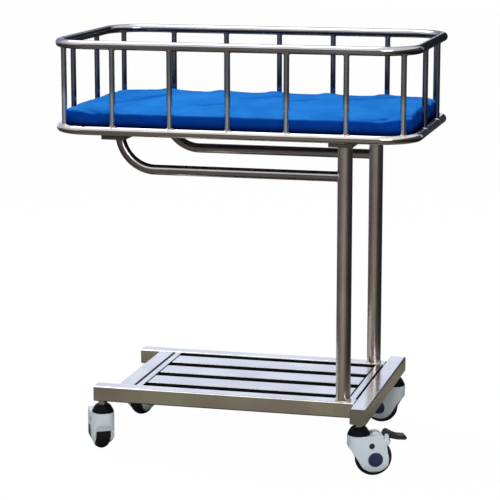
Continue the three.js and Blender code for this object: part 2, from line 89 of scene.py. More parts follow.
class Face(Enum):
    """Long sides of the bassinet."""

    FRONT = "front"
    BACK = "back"


class Corner(Enum):
    """Corners of the base that carry a caster."""

    LEFT_FRONT = "left_front"
    LEFT_BACK = "left_back"
    RIGHT_FRONT = "right_front"
    RIGHT_BACK = "right_back"


def math_node(operation: str) -> Callable[["Signal", "Value"], "Signal"]:
    """Make a method that joins a signal and another value by a Math node.

    Args:
        operation: Name of the Math operation.

    Returns:
        The method.
    """
    def method(self: "Signal", other: "Value") -> "Signal":
        """Result of the Math node."""
        return self.graph.node("ShaderNodeMath", {0: self, 1: other}, operation=operation)
    return method


@dataclass(eq=False)
class Signal:
    """A shader socket that answers to arithmetic with Math nodes."""

    graph: "Graph"
    socket: bpy.types.NodeSocket

    __add__ = __radd__ = math_node("ADD")
    __sub__ = math_node("SUBTRACT")
    __mul__ = __rmul__ = math_node("MULTIPLY")
    __truediv__ = math_node("DIVIDE")
    __pow__ = math_node("POWER")
    at_most = math_node("MINIMUM")
    at_least = math_node("MAXIMUM")


Value = Union[Signal, float]


class Graph:
    """The node tree of one material or of the surroundings."""

    def __init__(self, tree: bpy.types.NodeTree) -> None:
        """Start from an empty tree."""
        tree.nodes.clear()
        self.tree = tree

    def node(
        self, kind: str, sockets: Optional[dict[Union[int, str], Any]] = None, out: Union[int, str] = 0, **settings: Any
    ) -> Optional[Signal]:
        """Add a node, set it up and join its sockets.

        Args:
            kind: Node type.
            sockets: Values or signals for input sockets; colours come without alpha.
            out: Output socket to hand back.
            settings: Properties set before the sockets.

        Returns:
            The chosen output, or None for a node without outputs.
        """
        made = self.tree.nodes.new(kind)
        for key, value in settings.items():
            setattr(made, key, value)
        for key, value in (sockets or {}).items():
            socket = made.inputs[key]
            if isinstance(value, Signal):
                self.tree.links.new(value.socket, socket)
            else:
                socket.default_value = (*value, 1.0) if socket.type == "RGBA" else value
        return Signal(self, made.outputs[out]) if len(made.outputs) else None

    def place(self, scale: Triple = EVEN) -> Signal:
        """Object coordinates, stretched by a scale for each axis."""
        coords = self.node("ShaderNodeTexCoord", out="Object")
        return coords if scale == EVEN else self.node("ShaderNodeMapping", {"Vector": coords, "Scale": scale})

    def part(self, coords: Signal, axis: int) -> Signal:
        """One of the three coordinates."""
        return self.node("ShaderNodeSeparateXYZ", {0: coords}, out=axis)

    def mark(self, name: str) -> Signal:
        """Value that the mesh carries at its points under a name."""
        return self.node("ShaderNodeAttribute", out="Fac", attribute_name=name)

    def noise(self, coords: Signal, cloud: Cloud) -> Signal:
        """Cloudy noise between zero and one."""
        sockets = dict(zip(("Scale", "Detail", "Roughness"), cloud))
        return self.node("ShaderNodeTexNoise", {"Vector": coords, **sockets})

    def tones(self, value: Signal, stops: Tones) -> Signal:
        """Follow a ramp of colours.

        Args:
            value: Where to read it, between zero and one.
            stops: Positions with their colours, from low to high.

        Returns:
            The colour.
        """
        shade = self.node("ShaderNodeValToRGB", {0: value})
        ramp = shade.socket.node.color_ramp
        while len(ramp.elements) < len(stops):
            ramp.elements.new(1.0)
        for element, (position, color) in zip(ramp.elements, stops):
            element.position = position
            element.color = (*color, 1.0)
        return shade

    def ramp(self, value: Signal, stops: Stops) -> Signal:
        """Follow a line through a few stops."""
        return self.tones(value, [(position, (level, level, level)) for position, level in stops])

    def mix(self, share: Value, first: Any, second: Any) -> Signal:
        """Blend of two colours, by the share of the second."""
        return self.node("ShaderNodeMix", {0: share, 6: first, 7: second}, out=2, data_type="RGBA")

    def bump(self, height: Signal, relief: Relief, under: Optional[Signal] = None) -> Signal:
        """Normals raised by a height, over a coarser bump if there is one."""
        sockets = {"Height": height, "Strength": relief[0], "Distance": relief[1]}
        return self.node("ShaderNodeBump", sockets | ({"Normal": under} if under else {}))

    def show(self, shader: Signal, kind: str = "ShaderNodeOutputMaterial") -> None:
        """Close the tree with a surface."""
        self.node(kind, {"Surface": shader})


def coat(name: str) -> tuple[bpy.types.Material, Graph]:
    """Make a material.

    Args:
        name: Name of the material.

    Returns:
        The material and its empty tree.
    """
    made = bpy.data.materials.new(name)
    made.use_nodes = True
    return made, Graph(made.node_tree)


@dataclass(frozen=True)
class Finish:
    """A surface finish, made once and shared by its pieces."""

    name: str
    slot: Slot

    @lru_cache(maxsize=None)
    def material(self) -> bpy.types.Material:
        """Make the finish's material on first use.

        Returns:
            The shared material.
        """
        made, graph = coat(self.name)
        graph.show(graph.node("ShaderNodeBsdfPrincipled", self.paint(graph)))
        return made

    def paint(self, graph: Graph) -> dict[str, Any]:
        """Values and signals of the surface, with their nodes in the tree."""
        raise NotImplementedError


@dataclass(frozen=True)
class PolishedSteel(Finish):
    """Stainless steel, mirror polished by hand; a rod may carry a painted reflection at its foot, a tone of its own
    below a set height.
    """

    name: str = "polished steel"
    slot: Slot = Slot.STEEL
    bright: Color = (0.665, 0.665, 0.605)
    dull: Color = (0.565, 0.525, 0.525)
    gloss: float = 0.13
    haze: float = 0.11
    edge: Color = WHITE
    lines: Triple = EVEN
    # painted reflection: tone laid over a rod below the fade height, for what its foot mirrors
    foot: Optional[Color] = None
    foot_fade: Stops = ((0.794, 0.0), (0.816, 1.0))
    drift: Cloud = (9.0, 3.0, 0.5)
    contrast: Stops = ((0.36, 0.0), (0.64, 1.0))
    scratch: Cloud = (420.0, 3.0, 0.6)
    scratch_relief: Relief = (0.05, 0.0002)
    smear: Cloud = (34.0, 4.0, 0.6)
    wave: Cloud = (26.0, 1.0, 0.5)
    wave_relief: Relief = (0.16, 0.002)

    def paint(self, graph: Graph) -> dict[str, Any]:
        """Drift of tone, fine polishing lines, a slow waver in the surface and, on a rod, a painted reflection at its
        foot.

        Args:
            graph: Empty tree of the new material.

        Returns:
            Values and signals of the surface.
        """
        spot = graph.place()
        drift = graph.ramp(graph.noise(spot, self.drift), self.contrast)
        metal = graph.mix(drift, self.dull, self.bright)
        # painted reflection at the foot: below the fade height the foot tone takes the place of the metal's tone
        if self.foot:
            metal = graph.mix(graph.ramp(graph.part(spot, 2), self.foot_fade), self.foot, metal)
        lines = graph.noise(graph.place(self.lines), self.scratch)
        smear = graph.noise(spot, self.smear)
        waver = graph.bump(graph.noise(spot, self.wave), self.wave_relief)
        return {
            "Base Color": metal,
            "Metallic": 1.0,
            "Specular Tint": self.edge,
            "Roughness": self.gloss + self.haze * (0.6 * smear + 0.4 * lines),
            "Normal": graph.bump(lines, self.scratch_relief, waver),
        }


@dataclass(frozen=True)
class Vinyl(Finish):
    """Wipe-clean blue cover with a fine pebble grain."""

    name: str = "blue vinyl"
    slot: Slot = Slot.VINYL
    # painted shade: near-black along the bottom of the sides, and a deeper blue on the sides than on the lit top
    bottom_shade: Color = (0.0002, 0.0010, 0.016)
    side_shade: Color = (0.002, 0.034, 0.27)
    deep: Color = (0.005, 0.095, 0.40)
    light: Color = (0.020, 0.195, 0.60)
    panel: str = "panel"
    # names the mark of painted shade in the creases and along the rear edge
    crease: str = "crease"
    drift: Cloud = (13.0, 4.0, 0.6)
    drift_stretch: Triple = (1.0, 0.45, 1.0)
    contrast: Stops = ((0.36, 0.0), (0.62, 1.0))
    scuff: Cloud = (60.0, 5.0, 0.65)
    scuff_stretch: Triple = (1.0, 2.4, 1.0)
    pebbles: float = 620.0
    fine: Cloud = (900.0, 2.0, 0.5)
    grain_relief: Relief = (0.22, 0.0004)
    soft: Cloud = (38.0, 2.0, 0.5)
    soft_relief: Relief = (0.25, 0.0035)

    def paint(self, graph: Graph) -> dict[str, Any]:
        """Pebble grain, faint scuffs, painted shade in the creases and along the rear edge, a deeper blue of painted
        shade on the sides and a near-black painted shade along the bottom.

        Args:
            graph: Empty tree of the new material.

        Returns:
            Values and signals of the surface.
        """
        spot = graph.place()
        tone = graph.ramp(graph.noise(graph.place(self.drift_stretch), self.drift), self.contrast)
        scuff = graph.noise(graph.place(self.scuff_stretch), self.scuff)
        pebble = graph.node("ShaderNodeTexVoronoi", {"Vector": spot, "Scale": self.pebbles}, feature="F1")
        soft = graph.bump(graph.noise(spot, self.soft), self.soft_relief)
        grain = 0.7 * pebble + 0.3 * graph.noise(spot, self.fine)
        panel, crease = graph.mark(self.panel), graph.mark(self.crease)
        # painted shade: the crease mark darkens the cover in the creases and along the rear edge
        cover = graph.mix((0.35 + 0.4 * tone + 0.3 * scuff - crease).at_least(0.0), self.deep, self.light)
        # painted shade: the sides take a deeper blue than the lit top, and a near-black band runs along the bottom
        side = graph.mix((2.0 * panel).at_most(1.0), self.bottom_shade, graph.mix(0.3 * scuff, self.side_shade, self.deep))
        return {
            "Base Color": graph.mix((2.0 * panel - 1.0).at_least(0.0), side, cover),
            "Roughness": 0.5 + 0.22 * scuff,
            "Specular IOR Level": 0.0,
            "Normal": graph.bump(grain, self.grain_relief, soft),
        }


@dataclass(frozen=True)
class Grained(Finish):
    """Two tones in soft patches, an uneven gloss and a fine grain: plastic, rubber and dressed welds."""

    name: str = "pale moulding"
    slot: Slot = Slot.SHELL
    light: Color = (0.735, 0.805, 0.85)
    dark: Color = (0.655, 0.73, 0.78)
    patch: Cloud = (28.0, 4.0, 0.6)
    fall: float = 1.0
    gloss: float = 0.28
    haze: float = 0.16
    smear: Cloud = (90.0, 4.0, 0.6)
    shine: float = 0.5
    metal: float = 0.0
    grain: Cloud = (1500.0, 2.0, 0.5)
    relief: Relief = (0.08, 0.0002)

    def paint(self, graph: Graph) -> dict[str, Any]:
        """Patches of tone, haze and a skin grain.

        Args:
            graph: Empty tree of the new material.

        Returns:
            Values and signals of the surface.
        """
        spot = graph.place()
        return {
            "Base Color": graph.mix(graph.noise(spot, self.patch) ** self.fall, self.dark, self.light),
            "Metallic": self.metal,
            "Roughness": self.gloss + self.haze * graph.noise(spot, self.smear),
            "Specular IOR Level": self.shine,
            "Normal": graph.bump(graph.noise(spot, self.grain), self.relief),
        }


ALONG_X, ALONG_Y, ALONG_Z = (0.03, 1.0, 1.0), (1.0, 0.03, 1.0), (1.0, 1.0, 0.03)
RUBBED = {"gloss": 0.1, "haze": 0.09}
# painted shade at the tube edges: a dark specular tint dims the grazing reflections, over the rubbed finish's lower
# roughness
RUBBED_EDGE_SHADE = {**RUBBED, "edge": (0.40, 0.40, 0.42)}
STEEL_X = PolishedSteel("polished steel lengthwise", lines=ALONG_X)
STEEL_Y = PolishedSteel("polished steel crosswise", lines=ALONG_Y)
STEEL_Z = PolishedSteel("polished steel upright", lines=ALONG_Z)
# painted shade: the top rail, lower rail and arms are darker copies of the polished steel, so that their reflections
# read dimmer
TOP_RAIL = PolishedSteel("shaded rail steel", bright=(0.37, 0.37, 0.38), dull=(0.295, 0.295, 0.305), **RUBBED_EDGE_SHADE)
LOW_RAIL = PolishedSteel("lower rail steel", bright=(0.46, 0.44, 0.43), dull=(0.385, 0.365, 0.355), **RUBBED)
ARM = PolishedSteel("arm steel", bright=(0.31, 0.295, 0.305), dull=(0.245, 0.23, 0.24), lines=ALONG_X, **RUBBED_EDGE_SHADE)
# painted reflection and shade: front spindles are a darker copy of the steel with a pale blue painted reflection at the
# foot; the other spindles are a darker, bluer copy with a dark foot, painted shade for the shaded mattress they mirror
SPINDLE = PolishedSteel(
    "spindle steel", bright=(0.48, 0.48, 0.49), dull=(0.38, 0.385, 0.395), lines=ALONG_Z, foot=(0.88, 0.95, 1.0),
    **RUBBED_EDGE_SHADE,
)
SHADED_SPINDLE = PolishedSteel(
    "shaded spindle steel", bright=(0.30, 0.32, 0.37), dull=(0.225, 0.245, 0.29), lines=ALONG_Z, foot=(0.20, 0.22, 0.27),
    **RUBBED_EDGE_SHADE,
)
# painted shade: a darker copy of the steel for the faces of the right cross tube that do not face up
CROSS_SIDE_SHADE = PolishedSteel(
    "cross tube side shade steel", bright=(0.44, 0.45, 0.44), dull=(0.37, 0.355, 0.365), lines=ALONG_Y,
)
# painted shade: near-black, rougher steel for the gaps of the shelf, the inner faces of its rails and the edges and
# ends of its bars
SHADE_STEEL = PolishedSteel(
    "rough steel in painted shade", bright=(0.020, 0.022, 0.026), dull=(0.011, 0.012, 0.014), gloss=0.4, haze=0.2,
)
# painted shade: the deck tray and its bars are a dark, dull sheet standing for the shade under the basket
SHADED_SHEET = PolishedSteel("dull sheet in painted shade", bright=(0.15, 0.145, 0.14), dull=(0.10, 0.097, 0.093), gloss=0.3, haze=0.2)
WELD = Grained(
    "weld steel", Slot.STEEL, light=(0.52, 0.49, 0.45), dark=(0.36, 0.31, 0.24), patch=(130.0, 3.0, 0.5), gloss=0.28,
    haze=0.2, smear=(520.0, 2.0, 0.5), metal=1.0, grain=(520.0, 2.0, 0.5), relief=(0.35, 0.0006),
)
VINYL = Vinyl()
PALE = Grained()
# painted shade: a darker copy of the pale moulding for the back casters' shells
SHADED_PALE = Grained("shaded pale moulding", light=(0.545, 0.595, 0.61), dark=(0.485, 0.535, 0.555))
BLACK = Grained(
    "black moulding", Slot.BLACK, (0.006, 0.007, 0.011), (0.0025, 0.003, 0.005), gloss=0.36, haze=0.2, shine=0.03,
)
PEDAL = Grained(
    "black pedal moulding", Slot.BLACK, (0.036, 0.030, 0.038), (0.022, 0.018, 0.024), gloss=0.3, haze=0.2, shine=0.25,
)
NAVY = Grained(
    "navy moulding", Slot.AXLE, (0.030, 0.036, 0.098), (0.022, 0.026, 0.072), gloss=0.34, haze=0.2, shine=0.25,
)
GREY = Grained("grey moulding", Slot.TYRE, (0.20, 0.21, 0.22), (0.15, 0.16, 0.17), gloss=0.36, haze=0.2)
RUBBER = Grained(
    "tyre rubber", Slot.TYRE, light=(0.014, 0.013, 0.014), dark=(0.006, 0.006, 0.007), patch=(45.0, 5.0, 0.65),
    fall=2.0, gloss=0.5, haze=0.3, smear=(45.0, 5.0, 0.65), shine=0.2, grain=(1100.0, 2.0, 0.5), relief=(0.12, 0.0003),
)


def picked(items: Iterable[Any], kind: type) -> list[Any]:
    """The mesh elements of one kind."""
    return [item for item in items if isinstance(item, kind)]


def lengthwise(edges: Iterable[BMEdge], axis: int, over: float) -> Edges:
    """Edges that run further than a distance along one axis."""
    return [edge for edge in edges if abs(edge.verts[0].co[axis] - edge.verts[1].co[axis]) > over]


def clamp(value: float, low: float = 0.0, high: float = 1.0) -> float:
    """The value, kept between two levels."""
    return min(max(value, low), high)


def linked(name: str, data: bpy.types.ID) -> bpy.types.Object:
    """Add an object to the scene.

    Args:
        name: Name of the object.
        data: Its mesh, lamp or camera.

    Returns:
        The object.
    """
    made = bpy.data.objects.new(name, data)
    bpy.context.scene.collection.objects.link(made)
    return made


def bake(piece: bpy.types.Object, kind: str, **settings: Any) -> None:
    """Run one modifier on an object and keep the outcome as its mesh.

    Args:
        piece: Object to change in place.
        kind: Type of the modifier.
        settings: Properties of the modifier.
    """
    step = piece.modifiers.new(kind.lower(), kind)
    for key, value in settings.items():
        setattr(step, key, value)
    made = bpy.data.meshes.new_from_object(piece.evaluated_get(bpy.context.evaluated_depsgraph_get()))
    piece.modifiers.clear()
    piece.data = made


def put(mesh: bpy.types.Mesh, finish: Finish, body: str, stands_for: Sequence[str] = ()) -> bpy.types.Object:
    """Add a finished mesh to the scene as a piece of the object.

    Args:
        mesh: Mesh with its place in its vertices.
        finish: Surface finish.
        body: Body that the piece rides on.
        stands_for: Solid nodes that the piece is shown for.

    Returns:
        The new object.
    """
    piece = linked(mesh.name, mesh)
    mesh.materials.clear()
    mesh.materials.append(finish.material())
    even = piece.modifiers.new("even normals", "WEIGHTED_NORMAL")
    even.keep_sharp = True
    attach(piece, body)
    if stands_for:
        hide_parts(*stands_for)
    log.info("%s: %d faces, rides on %s", piece.name, len(mesh.polygons), body)
    return piece


class Blank:
    """A mesh under the tools, from its first operator to the finished piece."""

    def __init__(self) -> None:
        """Start with nothing."""
        self.bm = bmesh.new()

    def since(self, before: set[BMVert]) -> list[BMVert]:
        """Vertices made after a note of the earlier ones."""
        return [vert for vert in self.bm.verts if vert not in before]

    def spin(
        self, geom: list[Any], centre: Vector, axis: Vector, angle: float, steps: int, merge: bool = False
    ) -> list[Any]:
        """Sweep vertices and edges round an axis, and hand back the last ones."""
        sweep = {"angle": angle, "steps": steps, "use_merge": merge, "use_duplicate": False}
        return bmesh.ops.spin(self.bm, geom=geom, cent=centre, axis=axis, dvec=ORIGIN, **sweep)["geom_last"]

    def ring(self, centre: Vector, axis: Vector, radius: float, sides: int) -> Edges:
        """Draw an open circle across an axis.

        Args:
            centre: Middle of the circle.
            axis: Direction that the circle faces.
            radius: Radius in metres.
            sides: Number of edges.

        Returns:
            The circle's edges.
        """
        place = Matrix.Translation(centre) @ axis.to_track_quat("Z", "Y").to_matrix().to_4x4()
        made = bmesh.ops.create_circle(self.bm, cap_ends=False, segments=sides, radius=radius, matrix=place)
        return list(dict.fromkeys(edge for vert in made["verts"] for edge in vert.link_edges))

    def pull(self, edges: Edges, offset: Vector) -> Edges:
        """Extrude an open ring straight on.

        Args:
            edges: Ring to pull.
            offset: How far and which way.

        Returns:
            The ring at the new end.
        """
        made = bmesh.ops.extrude_edge_only(self.bm, edges=edges)["geom"]
        fresh = picked(made, BMVert)
        bmesh.ops.translate(self.bm, verts=fresh, vec=offset)
        return [edge for edge in picked(made, BMEdge) if set(edge.verts) <= set(fresh)]

    def bend(self, edges: Edges, centre: Vector, axis: Vector, angle: float, steps: int) -> Edges:
        """Spin an open ring round a bend, and hand back the ring at its end."""
        verts = list(dict.fromkeys(vert for edge in edges for vert in edge.verts))
        return picked(self.spin(verts + edges, centre, axis, angle, steps), BMEdge)

    def fill(self, edges: Edges) -> None:
        """Close an open ring."""
        bmesh.ops.edgeloop_fill(self.bm, edges=edges)

    def lathe(self, profile: Profile, place: Matrix, steps: int) -> None:
        """Turn a profile about its upright axis.

        Args:
            profile: Points as (radius, height), in metres.
            place: Where the turned shape goes.
            steps: Facets round the turn.
        """
        before = set(self.bm.verts)
        verts = [self.bm.verts.new((radius, 0.0, height)) for radius, height in profile]
        edges = [self.bm.edges.new(pair) for pair in zip(verts, verts[1:])]
        self.spin(verts + edges, ORIGIN, Z_AXIS, 2.0 * math.pi, steps, merge=True)
        bmesh.ops.remove_doubles(self.bm, verts=self.since(before), dist=TINY)
        bmesh.ops.transform(self.bm, matrix=place, verts=self.since(before))

    def rod(self, centre: Vector, radius: float, low: float, high: float, sides: int) -> None:
        """Upright round rod between two heights."""
        profile = [(0.0, low), (radius, low), (radius, high), (0.0, high)]
        self.lathe(profile, Matrix.Translation((centre.x, centre.y, 0.0)), sides)

    def cube(self, low: Vector, high: Vector) -> Edges:
        """Plain box between two corners.

        Args:
            low: Lowest corner.
            high: Highest corner.

        Returns:
            Its edges.
        """
        place = Matrix.Translation((low + high) / 2.0) @ Matrix.Diagonal((*(high - low), 1.0))
        made = bmesh.ops.create_cube(self.bm, size=1.0, matrix=place)
        return list(dict.fromkeys(edge for vert in made["verts"] for edge in vert.link_edges))

    def tube(self, low: Vector, high: Vector, axis: int, corner: float, rim: float) -> None:
        """Square tube with round corners along it and crisp closed ends.

        Args:
            low: Lowest corner.
            high: Highest corner.
            axis: Index of its long axis.
            corner: Radius of the long edges.
            rim: Radius of the edges round its ends.
        """
        self.soften(lengthwise(self.cube(low, high), axis, 0.5 * (high - low)[axis]), corner, segments=4)
        rims = [
            edge for edge in self.bm.edges
            if any(all(abs(v.co[axis] - end) < TINY for v in edge.verts) for end in (low[axis], high[axis]))
        ]
        self.soften(rims, rim, segments=2)

    def soften(self, geom: Sequence[Any], radius: float, segments: int, affect: str = "EDGES") -> None:
        """Bevel edges or points round."""
        style = {"offset_type": "OFFSET", "profile": 0.5, "clamp_overlap": True, "material": -1}
        bmesh.ops.bevel(self.bm, geom=geom, offset=radius, segments=segments, affect=affect, **style)

    def bead(
        self, foot: Vector, axis: Vector, radius: float, size: float,
        saddle: Optional[Vector] = None, saddle_radius: float = 0.0, sides: int = 8, steps: int = 28,
    ) -> None:
        """Weld bead round the foot of a tube, laid over a round tube where there is a saddle.

        Args:
            foot: Point where the tube's axis meets the other surface.
            axis: Direction of the tube, away from that surface.
            radius: Radius of the tube.
            size: Radius of the bead.
            saddle: Direction of the round tube underneath.
            saddle_radius: Radius of the round tube underneath.
            sides: Facets round the bead's section.
            steps: Facets along the bead.
        """
        before = set(self.bm.verts)
        turns = [2.0 * math.pi * k / sides for k in range(sides + 1)]
        profile = [(radius + size * math.cos(t), size * math.sin(t)) for t in turns]
        self.lathe(profile, Matrix.Identity(4), steps)
        made = self.since(before)
        if saddle is None:
            turn = axis.to_track_quat("Z", "Y").to_matrix()
        else:
            turn = Matrix((saddle, axis.cross(saddle), axis)).transposed()
            for vert in made:
                vert.co.z += math.sqrt(max(saddle_radius ** 2 - vert.co.y ** 2, 0.0)) - saddle_radius
        bmesh.ops.transform(self.bm, matrix=Matrix.Translation(foot) @ turn.to_4x4(), verts=made)

    def slice(self, axis: int, level: float, clear: bool = False) -> Edges:
        """Divide the faces along a plane across an axis.

        Args:
            axis: Index of the axis.
            level: Where the plane stands on it.
            clear: Take away what lies beyond the plane.

        Returns:
            The edges in the plane.
        """
        normal = (X_AXIS, Y_AXIS, Z_AXIS)[axis]
        made = bmesh.ops.bisect_plane(
            self.bm, geom=[*self.bm.verts, *self.bm.edges, *self.bm.faces], dist=HAIR,
            plane_co=normal * level, plane_no=normal, clear_outer=clear, clear_inner=False,
        )
        return picked(made["geom_cut"], BMEdge)

    def thicken(self, offset: Vector) -> None:
        """Pull every face across to a slab."""
        made = bmesh.ops.extrude_face_region(self.bm, geom=self.bm.faces[:], use_keep_orig=True)["geom"]
        bmesh.ops.translate(self.bm, verts=picked(made, BMVert), vec=offset)

    def mesh(self, name: str, crease: float = 32.0) -> bpy.types.Mesh:
        """Close the mesh: join doubles, face it out and shade it.

        Args:
            name: Name of the mesh.
            crease: Angle in degrees over which an edge stays sharp.

        Returns:
            The finished mesh.
        """
        bmesh.ops.remove_doubles(self.bm, verts=self.bm.verts, dist=2.0 * TINY)
        bmesh.ops.recalc_face_normals(self.bm, faces=self.bm.faces)
        made = bpy.data.meshes.new(name)
        self.bm.to_mesh(made)
        self.bm.free()
        made.shade_smooth()
        made.set_sharp_from_angle(angle=math.radians(crease))
        return made


class Carver:
    """Joins and cuts loose shapes into one closed moulding."""

    def __init__(self, start: Blank) -> None:
        """Take the first shape."""
        self.work = linked("moulding", start.mesh("moulding"))

    def _apply(self, shape: Blank, operation: str) -> "Carver":
        """Run one boolean.

        Args:
            shape: Shape to join, cut or keep within.
            operation: Name of the boolean.

        Returns:
            This carver.
        """
        tool = linked("tool", shape.mesh("tool"))
        bake(self.work, "BOOLEAN", operation=operation, object=tool, solver="EXACT")
        bpy.data.objects.remove(tool)
        return self

    def join(self, shape: Blank) -> "Carver":
        """Add a shape."""
        return self._apply(shape, "UNION")

    def cut(self, shape: Blank) -> "Carver":
        """Take a shape away."""
        return self._apply(shape, "DIFFERENCE")

    def within(self, shape: Blank) -> "Carver":
        """Keep only what lies inside a shape."""
        return self._apply(shape, "INTERSECT")

    def ease(self, width: float, over: float = 40.0) -> "Carver":
        """Ease the sharp edges.

        Args:
            width: Width of an eased edge.
            over: Angle in degrees over which an edge is sharp.

        Returns:
            This carver.
        """
        limit = {"limit_method": "ANGLE", "angle_limit": math.radians(over), "use_clamp_overlap": True}
        bake(self.work, "BEVEL", width=width, segments=2, **limit)
        return self

    def finish(self) -> Blank:
        """Hand the moulding back as a shape.

        Returns:
            The joined shape.
        """
        done = Blank()
        done.bm.from_mesh(self.work.data)
        bpy.data.objects.remove(self.work)
        return done


class Outline(Blank):
    """A line drawn in the side view in millimetres, then filled and pulled across to a slab."""

    def __init__(self, x: float, z: float) -> None:
        """Set the first point.

        Args:
            x: Distance along the trail.
            z: Height.
        """
        super().__init__()
        self.tip = self.bm.verts.new((x / MM, 0.0, z / MM))
        self.first = self.tip
        self.rounds: list[tuple[BMVert, float]] = []

    def lines(self, *points: Sequence[float]) -> "Outline":
        """Draw straight lines on from point to point.

        Args:
            points: Distance along the trail and height, and a length taken off either side to round the point, if any.

        Returns:
            This outline.
        """
        for x, z, *rounding in points:
            self.tip = bmesh.ops.extrude_vert_indiv(self.bm, verts=[self.tip])["verts"][0]
            self.tip.co = Vector((x / MM, 0.0, z / MM))
            self.rounds += [(self.tip, length / MM) for length in rounding]
        return self

    def arc(self, x: float, z: float, degrees: float, steps: int) -> "Outline":
        """Swing on round a centre.

        Args:
            x: Centre along the trail.
            z: Height of the centre.
            degrees: Turn; positive runs from up towards the toe.
            steps: Edges along the arc.

        Returns:
            This outline.
        """
        swept = self.spin([self.tip], Vector((x / MM, 0.0, z / MM)), Y_AXIS, math.radians(degrees), steps)
        self.tip = picked(swept, BMVert)[0]
        return self

    def slab(self, width: float, rounding: float = 0.0, across: float = 0.0, segments: int = 4) -> "Outline":
        """Fill the outline and pull it across.

        Args:
            width: Width of the slab.
            rounding: Radius of the edges round both faces.
            across: Middle of the slab across the trail.
            segments: Facets across a rounded edge.

        Returns:
            This outline, now a slab.
        """
        self.bm.edges.new((self.tip, self.first))
        bmesh.ops.contextual_create(self.bm, geom=self.bm.edges[:])
        for vert, length in self.rounds:
            self.soften([vert], length, segments=6, affect="VERTICES")
        near = (across - width / 2.0) / MM
        bmesh.ops.translate(self.bm, verts=self.bm.verts, vec=(0.0, near, 0.0))
        self.thicken(Vector((0.0, width / MM, 0.0)))
        bmesh.ops.recalc_face_normals(self.bm, faces=self.bm.faces)
        if rounding:
            rims = [edge for edge in self.bm.edges if abs(edge.verts[0].co.y - edge.verts[1].co.y) < HAIR]
            self.soften(rims, rounding / MM, segments)
        return self


@dataclass
class Basket:
    """Two bent rails, the spindles between them, and the deck with its bars."""

    bend_radius: float = 0.080
    tube_sides: int = 40
    bend_steps: int = 16
    spindle_sides: int = 28
    bead: float = 0.0014
    deck_sheet: float = 0.002
    deck_gap: float = 0.0098
    deck_steps: int = 14
    bar_round: float = 0.0012
    body: str = "frame"
    beads: Blank = field(default_factory=Blank)

    def build(self) -> None:
        """Make every piece of the basket but the mattress."""
        self._rail("top_rail", TOP_RAIL)
        self._rail("bottom_rail", LOW_RAIL)
        groups = {"front": [], "back": [], "left": [], "right": []}
        for node in sorted(name for name in frame["nodes"] if name.startswith("spindle_")):
            words = node.split("_")
            side = words[3] if words[1] == "corner" else words[1]
            groups[side].append(node)
        for side, nodes in groups.items():
            # painted shade and reflection: front spindles and the rest get different copies of the steel
            self._spindles(side, nodes, SPINDLE if side == "front" else SHADED_SPINDLE)
        put(self.beads.mesh("basket_welds"), WELD, self.body)
        self._deck()
        for node in ("deck_bar_left", "deck_bar_right"):
            blank = Blank()
            blank.soften(blank.cube(*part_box(node)), self.bar_round, segments=3)
            # painted shade: deck bars in the dark sheet
            put(blank.mesh(node + "_plate"), SHADED_SHEET, self.body, [node])

    def _rail(self, node: str, finish: Finish) -> None:
        """Bend one rail loop.

        Args:
            node: Solid that it is shown for.
            finish: Surface finish.
        """
        low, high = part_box(node)
        radius, level = (high.z - low.z) / 2.0, (high.z + low.z) / 2.0
        run_x, run_y = ((high[i] - low[i]) / 2.0 - radius - self.bend_radius for i in range(2))
        blank = Blank()
        ring = blank.ring(Vector((0.0, -run_y - self.bend_radius, level)), X_AXIS, radius, self.tube_sides)
        for step_x, step_y, at_x, at_y in (
            (run_x, 0.0, run_x, -run_y), (0.0, 2 * run_y, run_x, run_y),
            (-2 * run_x, 0.0, -run_x, run_y), (0.0, -2 * run_y, -run_x, -run_y),
        ):
            ring = blank.pull(ring, Vector((step_x, step_y, 0.0)))
            ring = blank.bend(ring, Vector((at_x, at_y, level)), Z_AXIS, QUARTER, self.bend_steps)
        blank.pull(ring, X_AXIS * run_x)
        put(blank.mesh(node + "_tube"), finish, self.body, [node])

    def _spindles(self, side: str, nodes: Sequence[str], finish: Finish) -> None:
        """Make the spindles of one side and lay their weld beads.

        Args:
            side: Side's name.
            nodes: Solids that they are shown for.
            finish: Surface finish.
        """
        low_rail, high_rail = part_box("bottom_rail"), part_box("top_rail")
        rail = (low_rail[1].z - low_rail[0].z) / 2.0
        bottom, top = ((low.z + high.z) / 2.0 for low, high in (low_rail, high_rail))
        blank = Blank()
        for node in nodes:
            low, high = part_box(node)
            centre, radius = (low + high) / 2.0, (high.x - low.x) / 2.0
            blank.rod(centre, radius, bottom, top, self.spindle_sides)
            along = Y_AXIS if side in ("left", "right") else X_AXIS
            if "corner" in node:
                along = Vector((-centre.y / abs(centre.y), centre.x / abs(centre.x), 0.0)).normalized()
            for level, lift in ((bottom, 1.0), (top, -1.0)):
                foot = Vector((centre.x, centre.y, level + lift * rail))
                self.beads.bead(foot, Vector((0.0, 0.0, lift)), radius, self.bead, along, rail)
        put(blank.mesh(f"spindles_{side}"), finish, self.body, nodes)

    def _deck(self) -> None:
        """Fold the deck tray, open below."""
        low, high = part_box("deck")
        height = (high - low).z
        blank = Blank()
        blank.cube(low, high)
        blank.soften(lengthwise(blank.bm.edges, 2, 0.5 * height), self.bend_radius - self.deck_gap, self.deck_steps)
        floor = [face for face in blank.bm.faces if face.normal.z < -FACING]
        bmesh.ops.inset_region(blank.bm, faces=floor, thickness=self.deck_sheet, use_even_offset=True)
        made = bmesh.ops.extrude_face_region(blank.bm, geom=floor)["geom"]
        bmesh.ops.delete(blank.bm, geom=floor, context="FACES_ONLY")
        bmesh.ops.translate(blank.bm, verts=picked(made, BMVert), vec=Z_AXIS * (height - self.deck_sheet))
        # painted shade: deck tray in the dark sheet
        put(blank.mesh("deck_tray"), SHADED_SHEET, self.body, ["deck"])


